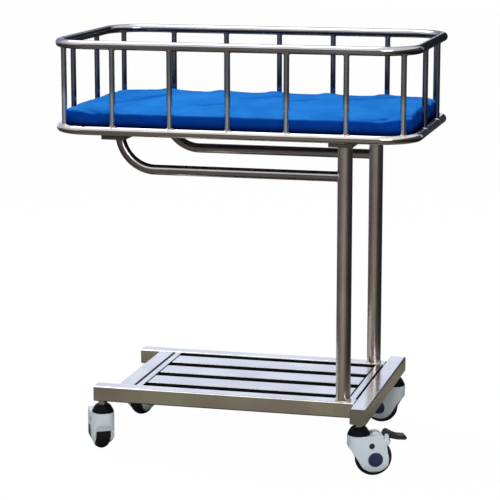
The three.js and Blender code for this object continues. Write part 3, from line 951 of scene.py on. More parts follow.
@dataclass(frozen=True)
class Crease:
    """Shallow crease across the cover, from one point to another."""

    start: tuple[float, float]
    end: tuple[float, float]
    width: float
    depth: float
    shade: float

    def share(self, spot: Vector) -> float:
        """How far a point lies in the crease.

        Args:
            spot: Point of the cover.

        Returns:
            One in the middle of the crease, falling to nothing beside it.
        """
        start, end = Vector(self.start), Vector(self.end)
        run = end - start
        along = clamp((spot.xy - start).dot(run) / run.length_squared)
        away = (spot.xy - start - run * along).length / self.width
        return math.exp(-away * away)


@dataclass
class Mattress:
    """Foam mattress in a slack vinyl cover, blown up a little so that it creases like one."""

    inset: float = 0.0005
    spread: float = 0.001
    crown_room: float = 0.006
    corner_radius: float = 0.069
    edge_round: float = 0.005
    rim_angle: float = 1.0
    voxel: float = 0.005
    hem: float = 0.008
    pressure: float = 4.0
    slack: float = 0.035
    stiffness: float = 18.0
    frames: int = 20
    reach: float = 0.005
    bump: float = 0.0055
    bump_room: float = 0.004
    bump_shift: float = 0.006
    bump_widths: tuple[float, float] = (0.016, 0.036)
    bump_reach: float = 0.05
    bump_fade: float = 0.006
    creases: tuple[Crease, ...] = (
        Crease((-0.299, -0.066), (-0.245, 0.095), 0.020, 0.0030, 0.55),
        Crease((-0.105, -0.075), (-0.058, -0.038), 0.009, 0.0025, 0.75),
        Crease((-0.044, 0.069), (0.019, 0.136), 0.018, 0.0025, 0.45),
        Crease((0.065, 0.054), (0.113, 0.097), 0.011, 0.0030, 0.75),
        Crease((0.205, 0.128), (0.276, 0.171), 0.020, 0.0025, 0.55),
    )
    rear_shade: float = 0.35
    # painted shade: heights over which the near-black band along the bottom fades out
    bottom_shade: tuple[float, float] = (0.009, 0.020)
    top_slope: tuple[float, float] = (0.62, 0.26)
    body: str = "mattress"

    def build(self) -> None:
        """Shape, blow up, cap, fold and finish the mattress."""
        low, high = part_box("mattress")
        base = Vector((low.x + self.inset, low.y + self.inset, low.z))
        head = Vector((high.x - self.inset, high.y - self.inset, high.z - self.crown_room))
        blank = Blank()
        blank.cube(base, head)
        blank.soften(lengthwise(blank.bm.edges, 2, 0.5 * (head - base).z), self.corner_radius, segments=10)
        rims = [e for e in blank.bm.edges if abs(e.verts[0].co.z - e.verts[1].co.z) < TINY]
        rims = [e for e in rims if len(e.link_faces) == 2 and e.calc_face_angle() > self.rim_angle]
        blank.soften(rims, self.edge_round, segments=4)
        pad = linked("mattress_cover", blank.mesh("mattress_cover"))
        bake(pad, "REMESH", mode="VOXEL", voxel_size=self.voxel)
        cover = pad.data
        cover.name = "mattress_cover"
        self._blow_up(pad, low, high)
        self._fold(cover, low, high)
        cover.shade_smooth()
        bpy.data.objects.remove(pad)
        piece = put(cover, VINYL, self.body, ["mattress"])
        piece.modifiers.clear()
        finer = piece.modifiers.new("finer", "SUBSURF")
        finer.levels = finer.render_levels = 1

    def _blow_up(self, pad: bpy.types.Object, low: Vector, high: Vector) -> None:
        """Run the cover as cloth under pressure, and cap how far each point goes.

        Args:
            pad: Object to change in place.
            low: Lowest corner that the cover may reach.
            high: Highest corner that the cover may reach.
        """
        rest = [vert.co.copy() for vert in pad.data.vertices]
        held = pad.vertex_groups.new(name="held")
        held.add([i for i, co in enumerate(rest) if co.z < low.z + self.hem], 1.0, "REPLACE")
        cloth = pad.modifiers.new("cover", "CLOTH")
        for key, value in {
            "quality": 6, "mass": 0.25, "tension_stiffness": self.stiffness, "compression_stiffness": self.stiffness,
            "shear_stiffness": self.stiffness / 3.0, "bending_stiffness": 0.6, "use_pressure": True,
            "uniform_pressure_force": self.pressure, "shrink_min": -self.slack, "vertex_group_mass": held.name,
        }.items():
            setattr(cloth.settings, key, value)
        cloth.settings.effector_weights.gravity = 0.0
        cloth.collision_settings.use_collision = False
        scene = bpy.context.scene
        for number in range(1, self.frames + 1):
            scene.frame_set(number)
        ready = pad.evaluated_get(bpy.context.evaluated_depsgraph_get())
        blown = [vert.co.copy() for vert in ready.data.vertices]
        pad.modifiers.clear()
        pad.vertex_groups.clear()
        scene.frame_set(1)
        grow = (self.spread, self.spread, 0.0)
        for vert, start, end in zip(pad.data.vertices, rest, blown):
            move = end - start
            if move.length > self.reach:
                move = move * (self.reach / move.length)
            spot = start + move
            vert.co = Vector(clamp(spot[i], low[i] - grow[i], high[i] + grow[i]) for i in range(3))

    def _fold(self, cover: bpy.types.Mesh, low: Vector, high: Vector) -> None:
        """Raise the rear edge at the spindles, press the creases in, and mark painted shade in the creases, along the
        rear edge, on the sides and along the bottom.

        Args:
            cover: Mesh to change in place.
            low: Lowest corner of the solid mattress.
            high: Highest corner of the solid mattress.
        """
        spindles = [sum(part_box(f"spindle_back_{i}"), Vector()).x / 2.0 for i in range(1, 6)]
        brow = high.z - self.crown_room
        # painted shade: the crease mark holds the darkening in each crease and along the rear edge
        crease = cover.attributes.new(VINYL.crease, "FLOAT", "POINT")
        for vert, mark in zip(cover.vertices, crease.data):
            hold = clamp((vert.co.z - brow) / self.bump_fade + 1.0)
            inward = (high.y - vert.co.y) / self.bump_reach
            lift = 0.0
            for x in spindles:
                aside = vert.co.x - x + self.bump_shift
                aside /= self.bump_widths[aside > 0.0]
                lift += self.bump * math.exp(-aside * aside - inward * inward)
            for line in self.creases:
                share = line.share(vert.co)
                lift -= line.depth * share
                mark.value = max(mark.value, line.shade * share)
            mark.value = max(mark.value, self.rear_shade * math.exp(-inward * inward))
            vert.co.z = min(vert.co.z + hold * lift, high.z + self.bump_room)
        cover.update()
        # painted shade: the mark is low in the near-black band at the bottom, middling on the shaded sides and full on
        # the lit top
        panel = cover.attributes.new(VINYL.panel, "FLOAT", "POINT")
        for vert, mark in zip(cover.vertices, panel.data):
            above = clamp((vert.normal.z - self.top_slope[0]) / self.top_slope[1])
            clear = clamp((vert.co.z - low.z - self.bottom_shade[0]) / (self.bottom_shade[1] - self.bottom_shade[0]))
            mark.value = 0.5 * clear + 0.5 * above


@dataclass
class Stand:
    """Two posts and the two bent arms that reach out under the basket."""

    arm_bend: float = 0.078
    arm_start: float = 0.6
    sides: int = 48
    arm_sides: int = 36
    bend_steps: int = 20
    bead: float = 0.0018
    body: str = "frame"
    beads: Blank = field(default_factory=Blank)

    def build(self) -> None:
        """Make posts, arms and their welds."""
        for face in Face:
            self._post(face)
            self._arm(face)
        put(self.beads.mesh("stand_welds"), WELD, self.body)

    def _post(self, face: Face) -> None:
        """Turn one post.

        Args:
            face: Long side that it stands on.
        """
        node = f"post_{face.value}"
        low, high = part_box(node)
        centre, radius = (low + high) / 2.0, (high.x - low.x) / 2.0
        blank = Blank()
        blank.rod(centre, radius, low.z, high.z, self.sides)
        put(blank.mesh(node + "_tube"), STEEL_Z, self.body, [node])
        for level, lift in ((low.z, 1.0), (high.z, -1.0)):
            self.beads.bead(Vector((centre.x, centre.y, level)), Vector((0.0, 0.0, lift)), radius, self.bead)

    def _arm(self, face: Face) -> None:
        """Bend one arm from its post to the bar under the basket.

        Args:
            face: Long side that it is on.
        """
        node = f"arm_{face.value}"
        low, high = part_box(node)
        post_low, post_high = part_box(f"post_{face.value}")
        post_x, post_radius = (post_low.x + post_high.x) / 2.0, (post_high.x - post_low.x) / 2.0
        across, radius = (low.y + high.y) / 2.0, (high.y - low.y) / 2.0
        level = low.z + radius
        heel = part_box("deck_bar_left")
        bend_x = (heel[0].x + heel[1].x) / 2.0 + self.arm_bend
        turn = math.acos((level + self.arm_bend - high.z) / self.arm_bend)
        outward, down = Vector((-1.0, 0.0, 0.0)), Vector((0.0, 0.0, -1.0))
        blank = Blank()
        start = Vector((post_x - self.arm_start * post_radius, across, level))
        first = blank.ring(start, outward, radius, self.arm_sides)
        ring = blank.pull(first, X_AXIS * (bend_x - start.x))
        centre = Vector((bend_x, across, level + self.arm_bend))
        ring = blank.bend(ring, centre, Y_AXIS, turn, self.bend_steps)
        ring = blank.pull(ring, Vector((-math.cos(turn), 0.0, math.sin(turn))) * radius)
        blank.fill(first)
        blank.fill(ring)
        blank.fill(blank.slice(2, high.z, clear=True))
        put(blank.mesh(node + "_tube"), ARM, self.body, [node])
        foot = Vector((post_x - post_radius, across, level))
        self.beads.bead(foot, outward, radius, self.bead, Z_AXIS, post_radius)
        top_x = centre.x - self.arm_bend * math.sin(turn)
        self.beads.bead(Vector((top_x, across, high.z)), down, radius, self.bead)


@dataclass
class Base:
    """Square tubes of the base and the slatted shelf between them."""

    corner: float = 0.003
    rim: float = 0.0008
    strip_round: float = 0.0008
    slat_round: float = 0.0016
    slat_end: float = 0.0035
    flat_top: float = 0.4
    tube_top: float = 0.6
    body: str = "frame"

    def build(self) -> None:
        """Make tubes, strips and slats."""
        bay = (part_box("base_cross_left")[1].x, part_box("base_cross_right")[0].x)
        for face in Face:
            node = f"base_rail_{face.value}"
            inward = 1.0 if face is Face.FRONT else -1.0
            piece = self._tube(node, 0, STEEL_X, bay)
            # painted shade on the rail's inner face between the cross tubes, beside the shelf
            self._dress(
                piece, SHADE_STEEL,
                lambda side: side.normal.y * inward > FACING and bay[0] < side.center.x < bay[1],
            )
        cross = self._tube("base_cross_right", 1, STEEL_Y)
        # painted shade on the faces of the right cross tube that do not face up
        self._dress(cross, CROSS_SIDE_SHADE, lambda side: side.normal.z < self.tube_top)
        self._tube("base_cross_left", 1, STEEL_Y)
        for node in ("shelf_strip_left", "shelf_strip_right"):
            self._flat(node, self.strip_round, STEEL_Y, 0.0)
        for node in sorted(name for name in frame["nodes"] if name.startswith("shelf_slat_")):
            self._flat(node, self.slat_round, STEEL_X, self.slat_end)

    def _tube(self, node: str, axis: int, finish: Finish, marks: Sequence[float] = ()) -> bpy.types.Object:
        """Cut one square tube.

        Args:
            node: Solid that it is shown for.
            axis: Index of its long axis.
            finish: Surface finish.
            marks: Where its faces are divided along X.

        Returns:
            The new piece.
        """
        blank = Blank()
        blank.tube(*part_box(node), axis, self.corner, self.rim)
        for mark in marks:
            blank.slice(0, mark)
        return put(blank.mesh(node + "_tube"), finish, self.body, [node])

    def _flat(self, node: str, rounding: float, finish: Finish, end: float) -> None:
        """Cut one flat bar, polished on its top, with painted shade on its edges and at its two ends.

        Args:
            node: Solid that it is shown for.
            rounding: Radius of its edges.
            finish: Finish of the polished top.
            end: Length of painted shade at each end, along X.
        """
        low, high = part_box(node)
        rims = (low.x + end, high.x - end)
        blank = Blank()
        blank.soften(blank.cube(low, high), rounding, segments=3)
        for mark in rims if end else ():
            blank.slice(0, mark)
        piece = put(blank.mesh(node + "_flat"), finish, self.body, [node])
        # painted shade on the bar's edges and underside, and at its ends
        self._dress(
            piece, SHADE_STEEL,
            lambda side: side.normal.z < self.flat_top or (end > 0.0 and not rims[0] < side.center.x < rims[1]),
        )

    @staticmethod
    def _dress(piece: bpy.types.Object, finish: Finish, where: Callable[[bpy.types.MeshPolygon], bool]) -> None:
        """Give some faces of a piece a second finish.

        Args:
            piece: Piece to change in place.
            finish: Finish of those faces.
            where: Tells which faces get it.
        """
        piece.data.materials.append(finish.material())
        for face in piece.data.polygons:
            face.material_index = int(where(face))


@dataclass
class Caster:
    """One swivel caster, drawn about its stem with the wheel trailing along +X, in millimetres."""

    corner: Corner
    braked: bool
    trail: float = 32.0
    wheel_radius: float = 40.0
    wheel_width: float = 29.0
    wheel_room: tuple[float, float] = (43.5, 33.0)
    tyre: float = 9.0
    seat: float = 91.0
    shell_width: float = 50.0
    shell_round: float = 6.5
    cheek: float = 29.8
    cheek_start: float = 0.44
    head_end: float = 48.8
    ledge: float = 82.5
    nose: float = 68.0
    visor_width: float = 42.0
    hump_width: float = 20.0
    pivot_x: float = 57.0
    pivot_z: float = 89.4
    ear: float = 4.5
    ear_width: float = 4.0
    ear_y: float = 15.4
    pin: float = 2.5
    pin_length: float = 31.6
    stem: float = 10.0
    stem_gap: float = 0.3
    socket: tuple[float, float] = (-11.3, 40.0)
    fit: float = 0.4
    axle_bore: float = 4.4
    axle_cap: float = 15.75
    screw: float = 6.0
    screw_spot: tuple[float, float] = (-8.0, 30.0)
    screw_gap: float = 0.5
    cap_seat: float = 6.6
    screw_seat: float = 3.0
    eased: float = 0.0005
    through: float = 260.0
    plan_height: float = 130.0
    pedal_width: float = 26.0
    taper: Profile = (
        (25.6, 140.0), (25.6, 42.0), (25.0, 34.0), (23.9, 28.0), (22.6, 24.0), (20.7, 20.0), (18.6, 16.0),
        (16.8, 12.6), (14.0, 9.0), (14.0, -9.0),
    )

    def place(self) -> Matrix:
        """Where the caster stands and which way it trails.

        Returns:
            Matrix from the caster's own frame to the object's.
        """
        joints = {joint["name"]: joint for joint in frame["joints"]}
        stem = Vector(joints[f"swivel_{self.corner.value}"]["pos_m"])
        axle = Vector(joints[f"roll_{self.corner.value}"]["pos_m"])
        heading = math.atan2(axle.y - stem.y, axle.x - stem.x)
        return Matrix.Translation((stem.x, stem.y, 0.0)) @ Matrix.Rotation(heading, 4, "Z")

    def build(self) -> None:
        """Make all pieces of the caster."""
        where = self.corner.value
        # painted shade: back casters take the darker copy of the pale moulding
        shell = SHADED_PALE if where.endswith(Face.BACK.value) else PALE
        pieces = [
            (self._fork, "fork", shell, f"caster_{where}", "caster_fork"),
            (self._cap, "dust_cap", BLACK, f"caster_{where}", "caster_cap"),
            (self._stem, "stem", STEEL_Z, "frame", "caster_stem"),
            (self._axle, "axle", NAVY, f"caster_{where}", "caster_axle"),
            (self._screws, "cheek_screws", PEDAL, f"caster_{where}", ""),
            (self._tyre, "tyre", RUBBER, f"wheel_{where}", "caster_wheel"),
            (self._core, "wheel_core", GREY, f"wheel_{where}", ""),
        ]
        if self.braked:
            pieces.append((self._pedal, "pedal", PEDAL, f"pedal_{where}", "caster_pedal"))
        for make, name, finish, body, node in pieces:
            blank = make()
            bmesh.ops.transform(blank.bm, matrix=self.place(), verts=blank.bm.verts)
            put(blank.mesh(f"{name}_{where}"), finish, body, [f"{node}_{where}"] if node else [])

    @staticmethod
    def _turned(profile: Profile, spot: Triple, steps: int, tilt: float = -QUARTER) -> Blank:
        """Turn a profile about the wheel's axis, or about another one.

        Args:
            profile: Points as (radius, distance along the axis).
            spot: Middle along the trail, across it and in height.
            steps: Facets round it.
            tilt: Turn of the axis from upright.

        Returns:
            The turned shape.
        """
        blank = Blank()
        place = Matrix.Translation([value / MM for value in spot]) @ Matrix.Rotation(tilt, 4, "X")
        blank.lathe([(radius / MM, along / MM) for radius, along in profile], place, steps)
        return blank

    def _disc(self, radius: float, width: float, spot: Triple, steps: int = 48) -> Blank:
        """Disc across the trail."""
        half = width / 2.0
        return self._turned([(0.0, -half), (radius, -half), (radius, half), (0.0, half)], spot, steps)

    def _fork(self) -> Blank:
        """Mould the fork shell.

        Returns:
            The shell in the caster's own frame.
        """
        half, trail, seat, ledge, nose = self.shell_width / 2.0, self.trail, self.seat, self.ledge, self.nose
        level, turn = self.wheel_radius, self.cheek_start
        side = Outline(-half, seat).lines(
            (half - 2.0, seat, 5.0), (trail + 5.0, seat + 3.4, 6.0), (self.head_end, seat + 1.0, 1.5),
            (self.head_end + 2.0, ledge, 1.0), (nose - 11.2, ledge - 1.5, 1.5), (nose - 11.2, ledge - 14.0, 2.0),
            (trail + self.cheek * math.cos(turn), level + self.cheek * math.sin(turn)),
        ).arc(trail, level, 147.6, 30).lines(
            (4.5, 21.5, 9.0), (-half * 0.55, seat - 37.0, 4.0), (-half, seat - 24.0, 9.0),
        ).slab(self.shell_width, self.shell_round, segments=6)
        visor = Outline(self.head_end, ledge - 1.5).lines(
            (nose - 8.4, ledge - 3.0, 2.0), (nose, ledge - 4.9, 1.2), (nose, ledge - 7.9, 1.2),
            (nose - 11.2, ledge - 14.0), (self.head_end, ledge - 14.0),
        ).slab(self.visor_width, 1.2)
        hump = Outline(trail - 9.0, seat - 4.0).lines(
            (trail - 5.5, seat + 3.2, 2.5), (trail - 1.0, seat + 6.4, 4.0), (trail + 8.0, seat + 6.4, 4.0),
            (trail + 13.0, seat + 2.0, 3.0), (trail + 13.0, seat - 4.0),
        ).slab(self.hump_width, 2.0)
        work = Carver(side).join(visor).within(self._plan()).within(self._taper(0.0)).join(hump)
        if self.braked:
            for sign in (-1.0, 1.0):
                ear = Outline(self.pivot_x - self.ear, ledge - 4.0).lines((self.pivot_x - self.ear, self.pivot_z))
                ear.arc(self.pivot_x, self.pivot_z, 180.0, 14).lines((self.pivot_x + self.ear, ledge - 4.0))
                work.join(ear.slab(self.ear_width, 0.0, sign * self.ear_y))
            pivot = (self.pivot_x, 0.0, self.pivot_z)
            work.cut(self._disc(self.pin + self.fit, self.pin_length + 2.0 * self.fit, pivot, 24))
        work.cut(self._disc(*self.wheel_room, (trail, 0.0, level), 64))
        work.cut(self._disc(self.axle_bore, 2.4 * self.shell_width, (trail, 0.0, level), 24))
        screw_x, screw_z = self.screw_spot
        for sign in (-1.0, 1.0):
            work.cut(self._disc(self.axle_cap + self.fit, self.cap_seat, (trail, sign * half, level)))
            spot = (trail + screw_x, sign * half, level + screw_z)
            work.cut(self._disc(self.screw + self.screw_gap, self.screw_seat, spot, 32))
        bore = self.stem + self.stem_gap
        depth, length = self.socket
        socket = [(0.0, 0.0), (bore, 0.0), (bore, length), (0.0, length)]
        work.cut(self._turned(socket, (0.0, 0.0, seat + depth), 32, 0.0))
        return work.ease(self.eased).finish()

    def _plan(self) -> Blank:
        """Top view of the shell: a round head and a blunt nose, as an upright slab.

        Returns:
            The slab.
        """
        half = self.shell_width / 2.0 / MM
        front = (self.trail + self.cheek * 0.75) / MM
        nose = self.nose / MM - front
        blank = Blank()
        first = blank.bm.verts.new((0.0, half, 0.0))
        low = picked(blank.spin([first], ORIGIN, Z_AXIS, math.pi, 32), BMVert)[0]
        corner = bmesh.ops.extrude_vert_indiv(blank.bm, verts=[low])["verts"][0]
        corner.co = Vector((front, -half, 0.0))
        before = set(blank.bm.verts)
        end = picked(blank.spin([corner], X_AXIS * front, Z_AXIS, math.pi, 28), BMVert)[0]
        about = Matrix.Translation((-front, 0.0, 0.0))
        bmesh.ops.scale(blank.bm, vec=(nose / half, 1.0, 1.0), space=about, verts=blank.since(before))
        blank.bm.edges.new((end, first))
        bmesh.ops.contextual_create(blank.bm, geom=blank.bm.edges[:])
        blank.thicken(Vector((0.0, 0.0, self.plan_height / MM)))
        return blank

    def _taper(self, proud: float) -> Blank:
        """End view of the shell: upright sides that curve in below the axle, as a slab along the trail.

        Args:
            proud: How far outside the shell's sides it stands.

        Returns:
            The slab.
        """
        right = [(half + proud, level) for half, level in self.taper]
        left = [(-half - proud, level) for half, level in self.taper]
        slab = Outline(*left[0]).lines(*right, *reversed(left[1:])).slab(self.through)
        turn = Matrix.Rotation(QUARTER, 3, "Z")
        bmesh.ops.rotate(slab.bm, verts=slab.bm.verts, cent=ORIGIN, matrix=turn)
        return slab

    def _cap(self) -> Blank:
        """Turn the dust cap under the base tube.

        Returns:
            The cap.
        """
        bore = self.stem + self.stem_gap
        profile = [
            (bore, 0.3), (23.4, 0.3), (24.0, 0.9), (24.0, 2.8), (23.6, 3.6), (22.6, 5.8), (21.4, 8.4), (19.6, 11.4),
            (17.6, 14.4), (16.2, 16.2), (15.0, 17.1), (13.6, 17.3), (bore, 17.3), (bore, 0.3),
        ]
        return self._turned(profile, (0.0, 0.0, self.seat), 56, 0.0)

    def _stem(self) -> Blank:
        """Turn the stem from the base tube into the shell.

        Returns:
            The stem.
        """
        low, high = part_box(f"caster_stem_{self.corner.value}")
        length = (high.z - low.z) * MM
        profile = [(0.0, 0.0), (self.stem - 0.6, 0.0), (self.stem, 0.6), (self.stem, length), (0.0, length)]
        return self._turned(profile, (0.0, 0.0, low.z * MM), 40, 0.0)

    def _axle(self) -> Blank:
        """Turn the axle with its two domed caps.

        Returns:
            The axle.
        """
        half, cap = self.shell_width / 2.0, self.axle_cap
        near = [
            (0.0, 0.55), (2.2, 0.5), (2.6, 0.9), (cap - 4.9, 0.75), (cap - 4.3, 0.2), (cap - 3.7, 0.7),
            (cap - 1.0, 0.45), (cap - 0.3, 0.0), (cap, -0.6), (cap, -3.0), (4.0, -3.0),
        ]
        profile = [(r, half + h) for r, h in near] + [(r, -half - h) for r, h in reversed(near)]
        turned = self._turned(profile, (self.trail, 0.0, self.wheel_radius), 56)
        return Carver(turned).within(self._taper(self.fit)).finish()

    def _screws(self) -> Blank:
        """Turn the two small screws in the cheeks.

        Returns:
            Both screws.
        """
        blank, edge = Blank(), self.screw
        head = [
            (0.0, -0.9), (2.2, -0.9), (2.8, -0.2), (edge - 1.6, -0.1), (edge - 0.3, -0.5), (edge, -1.0),
            (edge, -1.4), (0.0, -1.4),
        ]
        x, z = self.trail + self.screw_spot[0], self.wheel_radius + self.screw_spot[1]
        for sign in (-1.0, 1.0):
            spot = Matrix.Translation(Vector((x, sign * self.shell_width / 2.0, z)) / MM)
            tilt = Matrix.Rotation(-sign * QUARTER, 4, "X")
            blank.lathe([(r / MM, h / MM) for r, h in head], spot @ tilt, 32)
        return blank

    def _tyre(self) -> Blank:
        """Turn the tyre.

        Returns:
            The tyre.
        """
        half, rim = self.wheel_width / 2.0, self.wheel_radius - self.tyre
        side = [
            (rim, half - 3.0), (rim, half - 0.5), (rim + 0.5, half), (rim + 1.6, half), (rim + 2.6, half - 0.5),
            (rim + 4.4, half - 2.2), (rim + 6.0, half - 4.6), (rim + 7.4, half - 7.4), (rim + 8.4, half - 10.2),
            (self.wheel_radius, half - 13.2),
        ]
        tread = [(r, -h) for r, h in side] + [(r, h) for r, h in reversed(side)] + [(rim, -half + 3.0)]
        return self._turned(tread, (self.trail, 0.0, self.wheel_radius), 72)

    def _core(self) -> Blank:
        """Turn the wheel's core with its hub.

        Returns:
            The core.
        """
        half, rim = self.wheel_width / 2.0, self.wheel_radius - self.tyre - 0.05
        side = [
            (4.4, half), (11.8, half), (12.4, half - 0.6), (12.4, half - 4.0), (rim - 2.6, half - 4.0),
            (rim - 2.0, half - 0.8), (rim, half - 0.8),
        ]
        core = side + [(r, -h) for r, h in reversed(side)] + [side[0]]
        return self._turned(core, (self.trail, 0.0, self.wheel_radius), 56)

    def _pedal(self) -> Blank:
        """Mould the brake pedal on its cross pin.

        Returns:
            The pedal.
        """
        x, z = self.pivot_x, self.pivot_z
        lever = Outline(x - 4.7, z).lines(
            (x - 3.2, z + 4.6, 1.5), (x - 1.8, z + 7.4, 2.0), (x + 1.6, z + 9.5, 2.2), (x + 5.6, z + 9.0, 2.4),
            (x + 22.0, z - 0.6, 7.0), (x + 40.75, z - 2.9),
        ).arc(x + 40.75, z - 7.15, 180.0, 16).lines(
            (x + 22.0, z - 9.9, 5.0), (x + 13.2, z - 7.5, 4.0), (x - 1.0, z - 5.0, 2.0), (x - 4.0, z - 3.0, 2.0),
        ).slab(self.pedal_width, 2.6)
        pin = self._disc(self.pin, self.pin_length, (x, 0.0, z), 24)
        return Carver(lever).join(pin).finish()


@dataclass(frozen=True)
class Card:
    """Upright card that only mirror reflections see, placed round the object from the camera's side."""

    name: str
    turn: float
    away: float
    width: float
    low: float
    high: float
    tone: Color


@dataclass
class Studio:
    """White sweep, soft lamps, cards for the steel to mirror, and the camera."""

    target: Vector = field(default_factory=lambda: Vector((-0.0107, 0.0, 0.4359)))
    azimuth: float = 14.3
    elevation: float = 10.85
    distance: float = 4.4311
    lens: float = 143.17
    sensor: float = 36.0
    clip: tuple[float, float] = (0.1, 100.0)
    lamps: tuple[tuple[str, Triple, float, float], ...] = (
        ("key lamp", (-1.2, 0.4, 3.6), 2.6, 95.0), ("fill lamp", (1.8, -3.4, 2.2), 2.0, 60.0),
    )
    sky_tone: Color = (0.93, 0.96, 1.0)
    sky_light: float = 0.5
    floor_size: float = 14.0
    floor_tone: Color = (0.5, 0.49, 0.47)
    floor_white: float = 0.95
    floor_glow: float = 1.03
    ground_reach: float = 40.0
    ground_level: float = 0.002
    ground_dark: Color = (0.010, 0.009, 0.008)
    ground: Tones = (
        (0.008, (0.012, 0.011, 0.010)), (0.014, (0.27, 0.245, 0.185)), (0.02, (0.28, 0.25, 0.19)),
        (0.03, (0.38, 0.33, 0.285)), (0.1, (0.37, 0.33, 0.29)), (0.19, (0.25, 0.266, 0.30)),
    )
    near: Stops = ((0.019, 1.0), (0.027, 0.0))
    behind: float = 0.45
    sideways: Stops = (
        (0.0, 0.42), (0.22, 0.75), (0.42, 1.0), (0.58, 0.75), (0.76, 0.28), (0.9, 0.09), (1.0, 0.06),
    )
    cards: tuple[Card, ...] = (
        Card("sky behind", 180.0, 6.5, 16.0, 0.0, 7.0, (0.95, 1.03, 1.25)),
        Card("sky ahead", 0.0, 12.0, 30.0, 5.8, 14.0, (1.7, 1.7, 1.73)),
        Card("wall ahead", 0.0, 12.0, 30.0, 0.0, 5.8, (0.25, 0.23, 0.23)),
        Card("dark wall", 90.0, 7.0, 18.0, 0.0, 4.5, (0.11, 0.11, 0.115)),
        Card("dark hedge", 154.7, 6.0, 2.9, 0.0, 3.6, (0.03, 0.035, 0.05)),
    )
    overhead: float = 7.0
    overhead_size: float = 16.0
    overhead_tone: Color = (1.7, 1.7, 1.73)
    cover_inset: float = 0.02
    cover_rise: float = 0.006
    mattress_shade_tone: Color = (0.012, 0.022, 0.075)

    def build(self) -> None:
        """Set the view, the surroundings, the lamps and the camera."""
        bpy.context.scene.view_settings.view_transform = "Standard"
        self._surroundings()
        self._floor()
        self._cards()
        for name, spot, size, power in self.lamps:
            self._lamp(name, Vector(spot), size, power)
        self._camera()

    @staticmethod
    def _seen(graph: Graph) -> Signal:
        """One for rays that show the sweep itself, straight or in a mirror."""
        straight, mirror, through = (
            graph.node("ShaderNodeLightPath", out=f"Is {kind} Ray") for kind in ("Camera", "Glossy", "Transmission")
        )
        return straight.at_least(mirror).at_least(through)

    @staticmethod
    def _staged(name: str, bm: bmesh.types.BMesh) -> tuple[bpy.types.Object, Graph]:
        """Add a mesh of the stage.

        Args:
            name: Name of the object and its material.
            bm: Shape to use up.

        Returns:
            The object and the empty tree of its material.
        """
        mesh = bpy.data.meshes.new(name)
        bm.to_mesh(mesh)
        bm.free()
        material, graph = coat(name)
        mesh.materials.append(material)
        return linked(name, mesh), graph

    def _surroundings(self) -> None:
        """White all round to the eye, soft grey as light."""
        world = bpy.data.worlds.new("sweep")
        world.use_nodes = True
        bpy.context.scene.world = world
        graph = Graph(world.node_tree)
        shown = graph.node("ShaderNodeBackground", {"Color": WHITE, "Strength": 1.0})
        cast = graph.node("ShaderNodeBackground", {"Color": self.sky_tone, "Strength": self.sky_light})
        sky = graph.node("ShaderNodeMixShader", {0: self._seen(graph), 1: cast, 2: shown})
        graph.show(sky, "ShaderNodeOutputWorld")

    def _floor(self) -> None:
        """White floor that keeps a soft shadow."""
        bm = bmesh.new()
        bmesh.ops.create_grid(bm, x_segments=1, y_segments=1, size=self.floor_size)
        floor, graph = self._staged("floor", bm)
        matt = graph.node("ShaderNodeBsdfDiffuse", {"Color": self.floor_tone})
        glow = graph.node("ShaderNodeEmission", {"Color": WHITE, "Strength": self.floor_glow})
        share = self.floor_white * self._seen(graph)
        graph.show(graph.node("ShaderNodeMixShader", {0: share, 1: matt, 2: glow}))

    def _reflected(
        self, name: str, place: Matrix, tone: Union[Color, Callable[[Graph], Signal]], sides: int = 4
    ) -> None:
        """Set up a card that only mirror reflections see.

        Args:
            name: Name of the card.
            place: Where it stands and how large it is, from a card of one metre.
            tone: Its tone, or what works it out in the card's own tree.
            sides: Corners of the card.
        """
        bm = bmesh.new()
        bmesh.ops.create_circle(bm, cap_ends=True, segments=sides, radius=1.0, matrix=place)
        card, graph = self._staged(name, bm)
        color = tone(graph) if callable(tone) else tone
        graph.show(graph.node("ShaderNodeEmission", {"Color": color, "Strength": 1.0}))
        card.visible_camera = card.visible_diffuse = card.visible_transmission = card.visible_shadow = False

    def _ground_tone(self, graph: Graph) -> Signal:
        """Brown-grey ground: dark under the object, lit close by, and dark far to the right.

        Args:
            graph: Tree of the ground card.

        Returns:
            The tone.
        """
        turn = math.radians(self.azimuth)
        spot = graph.place()
        x, y = graph.part(spot, 0), graph.part(spot, 1)
        reach = (x * x + y * y) ** 0.5
        share = reach * (1.0 / self.ground_reach)
        right = (math.cos(turn) * x + math.sin(turn) * y) / reach
        ahead = (math.sin(turn) * x - math.cos(turn) * y) / reach
        sideways = graph.ramp(0.5 + 0.5 * right, self.sideways)
        facing = self.behind + (1.0 - self.behind) * (0.5 + 0.5 * ahead)
        level = graph.ramp(share, self.near).at_least(sideways * facing)
        return graph.mix(level, self.ground_dark, graph.tones(share, self.ground))

    def _cards(self) -> None:
        """Ground below, sky overhead and upright cards round about."""
        flat = Matrix.Diagonal((self.ground_reach, self.ground_reach, 1.0, 1.0))
        ground = Matrix.Translation((0.0, 0.0, self.ground_level)) @ flat
        self._reflected("ground card", ground, self._ground_tone, 64)
        wide = Matrix.Diagonal((self.overhead_size, self.overhead_size, 1.0, 1.0))
        roof = Matrix.Translation((0.0, 0.0, self.overhead)) @ wide
        self._reflected("overhead card", roof, self.overhead_tone, 32)
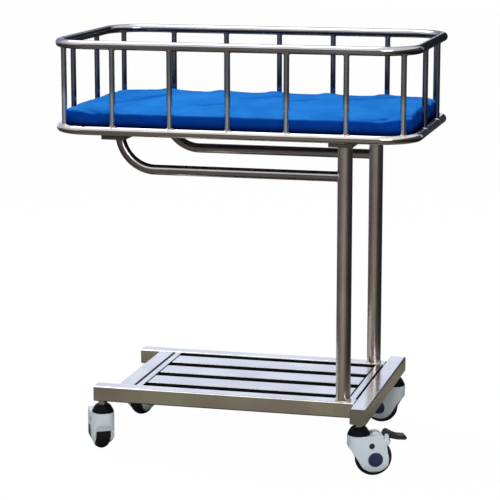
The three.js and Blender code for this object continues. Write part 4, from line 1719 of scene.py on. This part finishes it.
        # painted reflection: a dark navy card just above the mattress, seen only in reflections, stands for the
        # mattress in shade
        low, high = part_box("mattress")
        half = (high - low) / 2.0 - Vector((self.cover_inset, self.cover_inset, 0.0))
        spread = Matrix.Diagonal((half.x * ROOT_2, half.y * ROOT_2, 1.0, 1.0))
        square = Matrix.Rotation(QUARTER / 2.0, 4, "Z")
        level = Matrix.Translation((0.0, 0.0, high.z + self.cover_rise)) @ spread @ square
        self._reflected("mattress card", level, self.mattress_shade_tone)
        upright = Matrix.Rotation(QUARTER, 4, "X") @ square
        for card in self.cards:
            turn = Matrix.Rotation(math.radians(self.azimuth + card.turn), 4, "Z")
            spot = Matrix.Translation((0.0, -card.away, (card.low + card.high) / 2.0))
            size = Matrix.Diagonal((card.width / ROOT_2, 1.0, (card.high - card.low) / ROOT_2, 1.0))
            self._reflected(card.name, turn @ spot @ size @ upright, card.tone)

    def _lamp(self, name: str, spot: Vector, size: float, power: float) -> None:
        """Hang one soft lamp that faces the object.

        Args:
            name: Name of the lamp.
            spot: Where it hangs.
            size: Width of its square face.
            power: Power in watts.
        """
        data = bpy.data.lights.new(name, "AREA")
        data.size = size
        data.energy = power
        lamp = linked(name, data)
        lamp.location = spot
        lamp.rotation_mode = "QUATERNION"
        lamp.rotation_quaternion = (spot - self.target).to_track_quat("Z", "Y")

    def _camera(self) -> None:
        """Camera at the photograph's viewing angle."""
        data = bpy.data.cameras.new("camera")
        data.sensor_width = self.sensor
        data.lens = self.lens
        data.clip_start, data.clip_end = self.clip
        camera = linked("camera", data)
        turn, rise = math.radians(self.azimuth), math.radians(self.elevation)
        back = Vector((math.sin(turn) * math.cos(rise), -math.cos(turn) * math.cos(rise), math.sin(rise)))
        camera.location = self.target + back * self.distance
        camera.rotation_mode = "QUATERNION"
        camera.rotation_quaternion = back.to_track_quat("Z", "Y")
        bpy.context.scene.camera = camera


def main() -> None:
    """Build the object and its stage."""
    logging.basicConfig(level=logging.INFO, format="%(name)s: %(message)s")
    Studio().build()
    Basket().build()
    Mattress().build()
    Stand().build()
    Base().build()
    for corner in Corner:
        Caster(corner, braked=corner in (Corner.RIGHT_FRONT, Corner.RIGHT_BACK)).build()


if __name__ == "__main__":
    main()
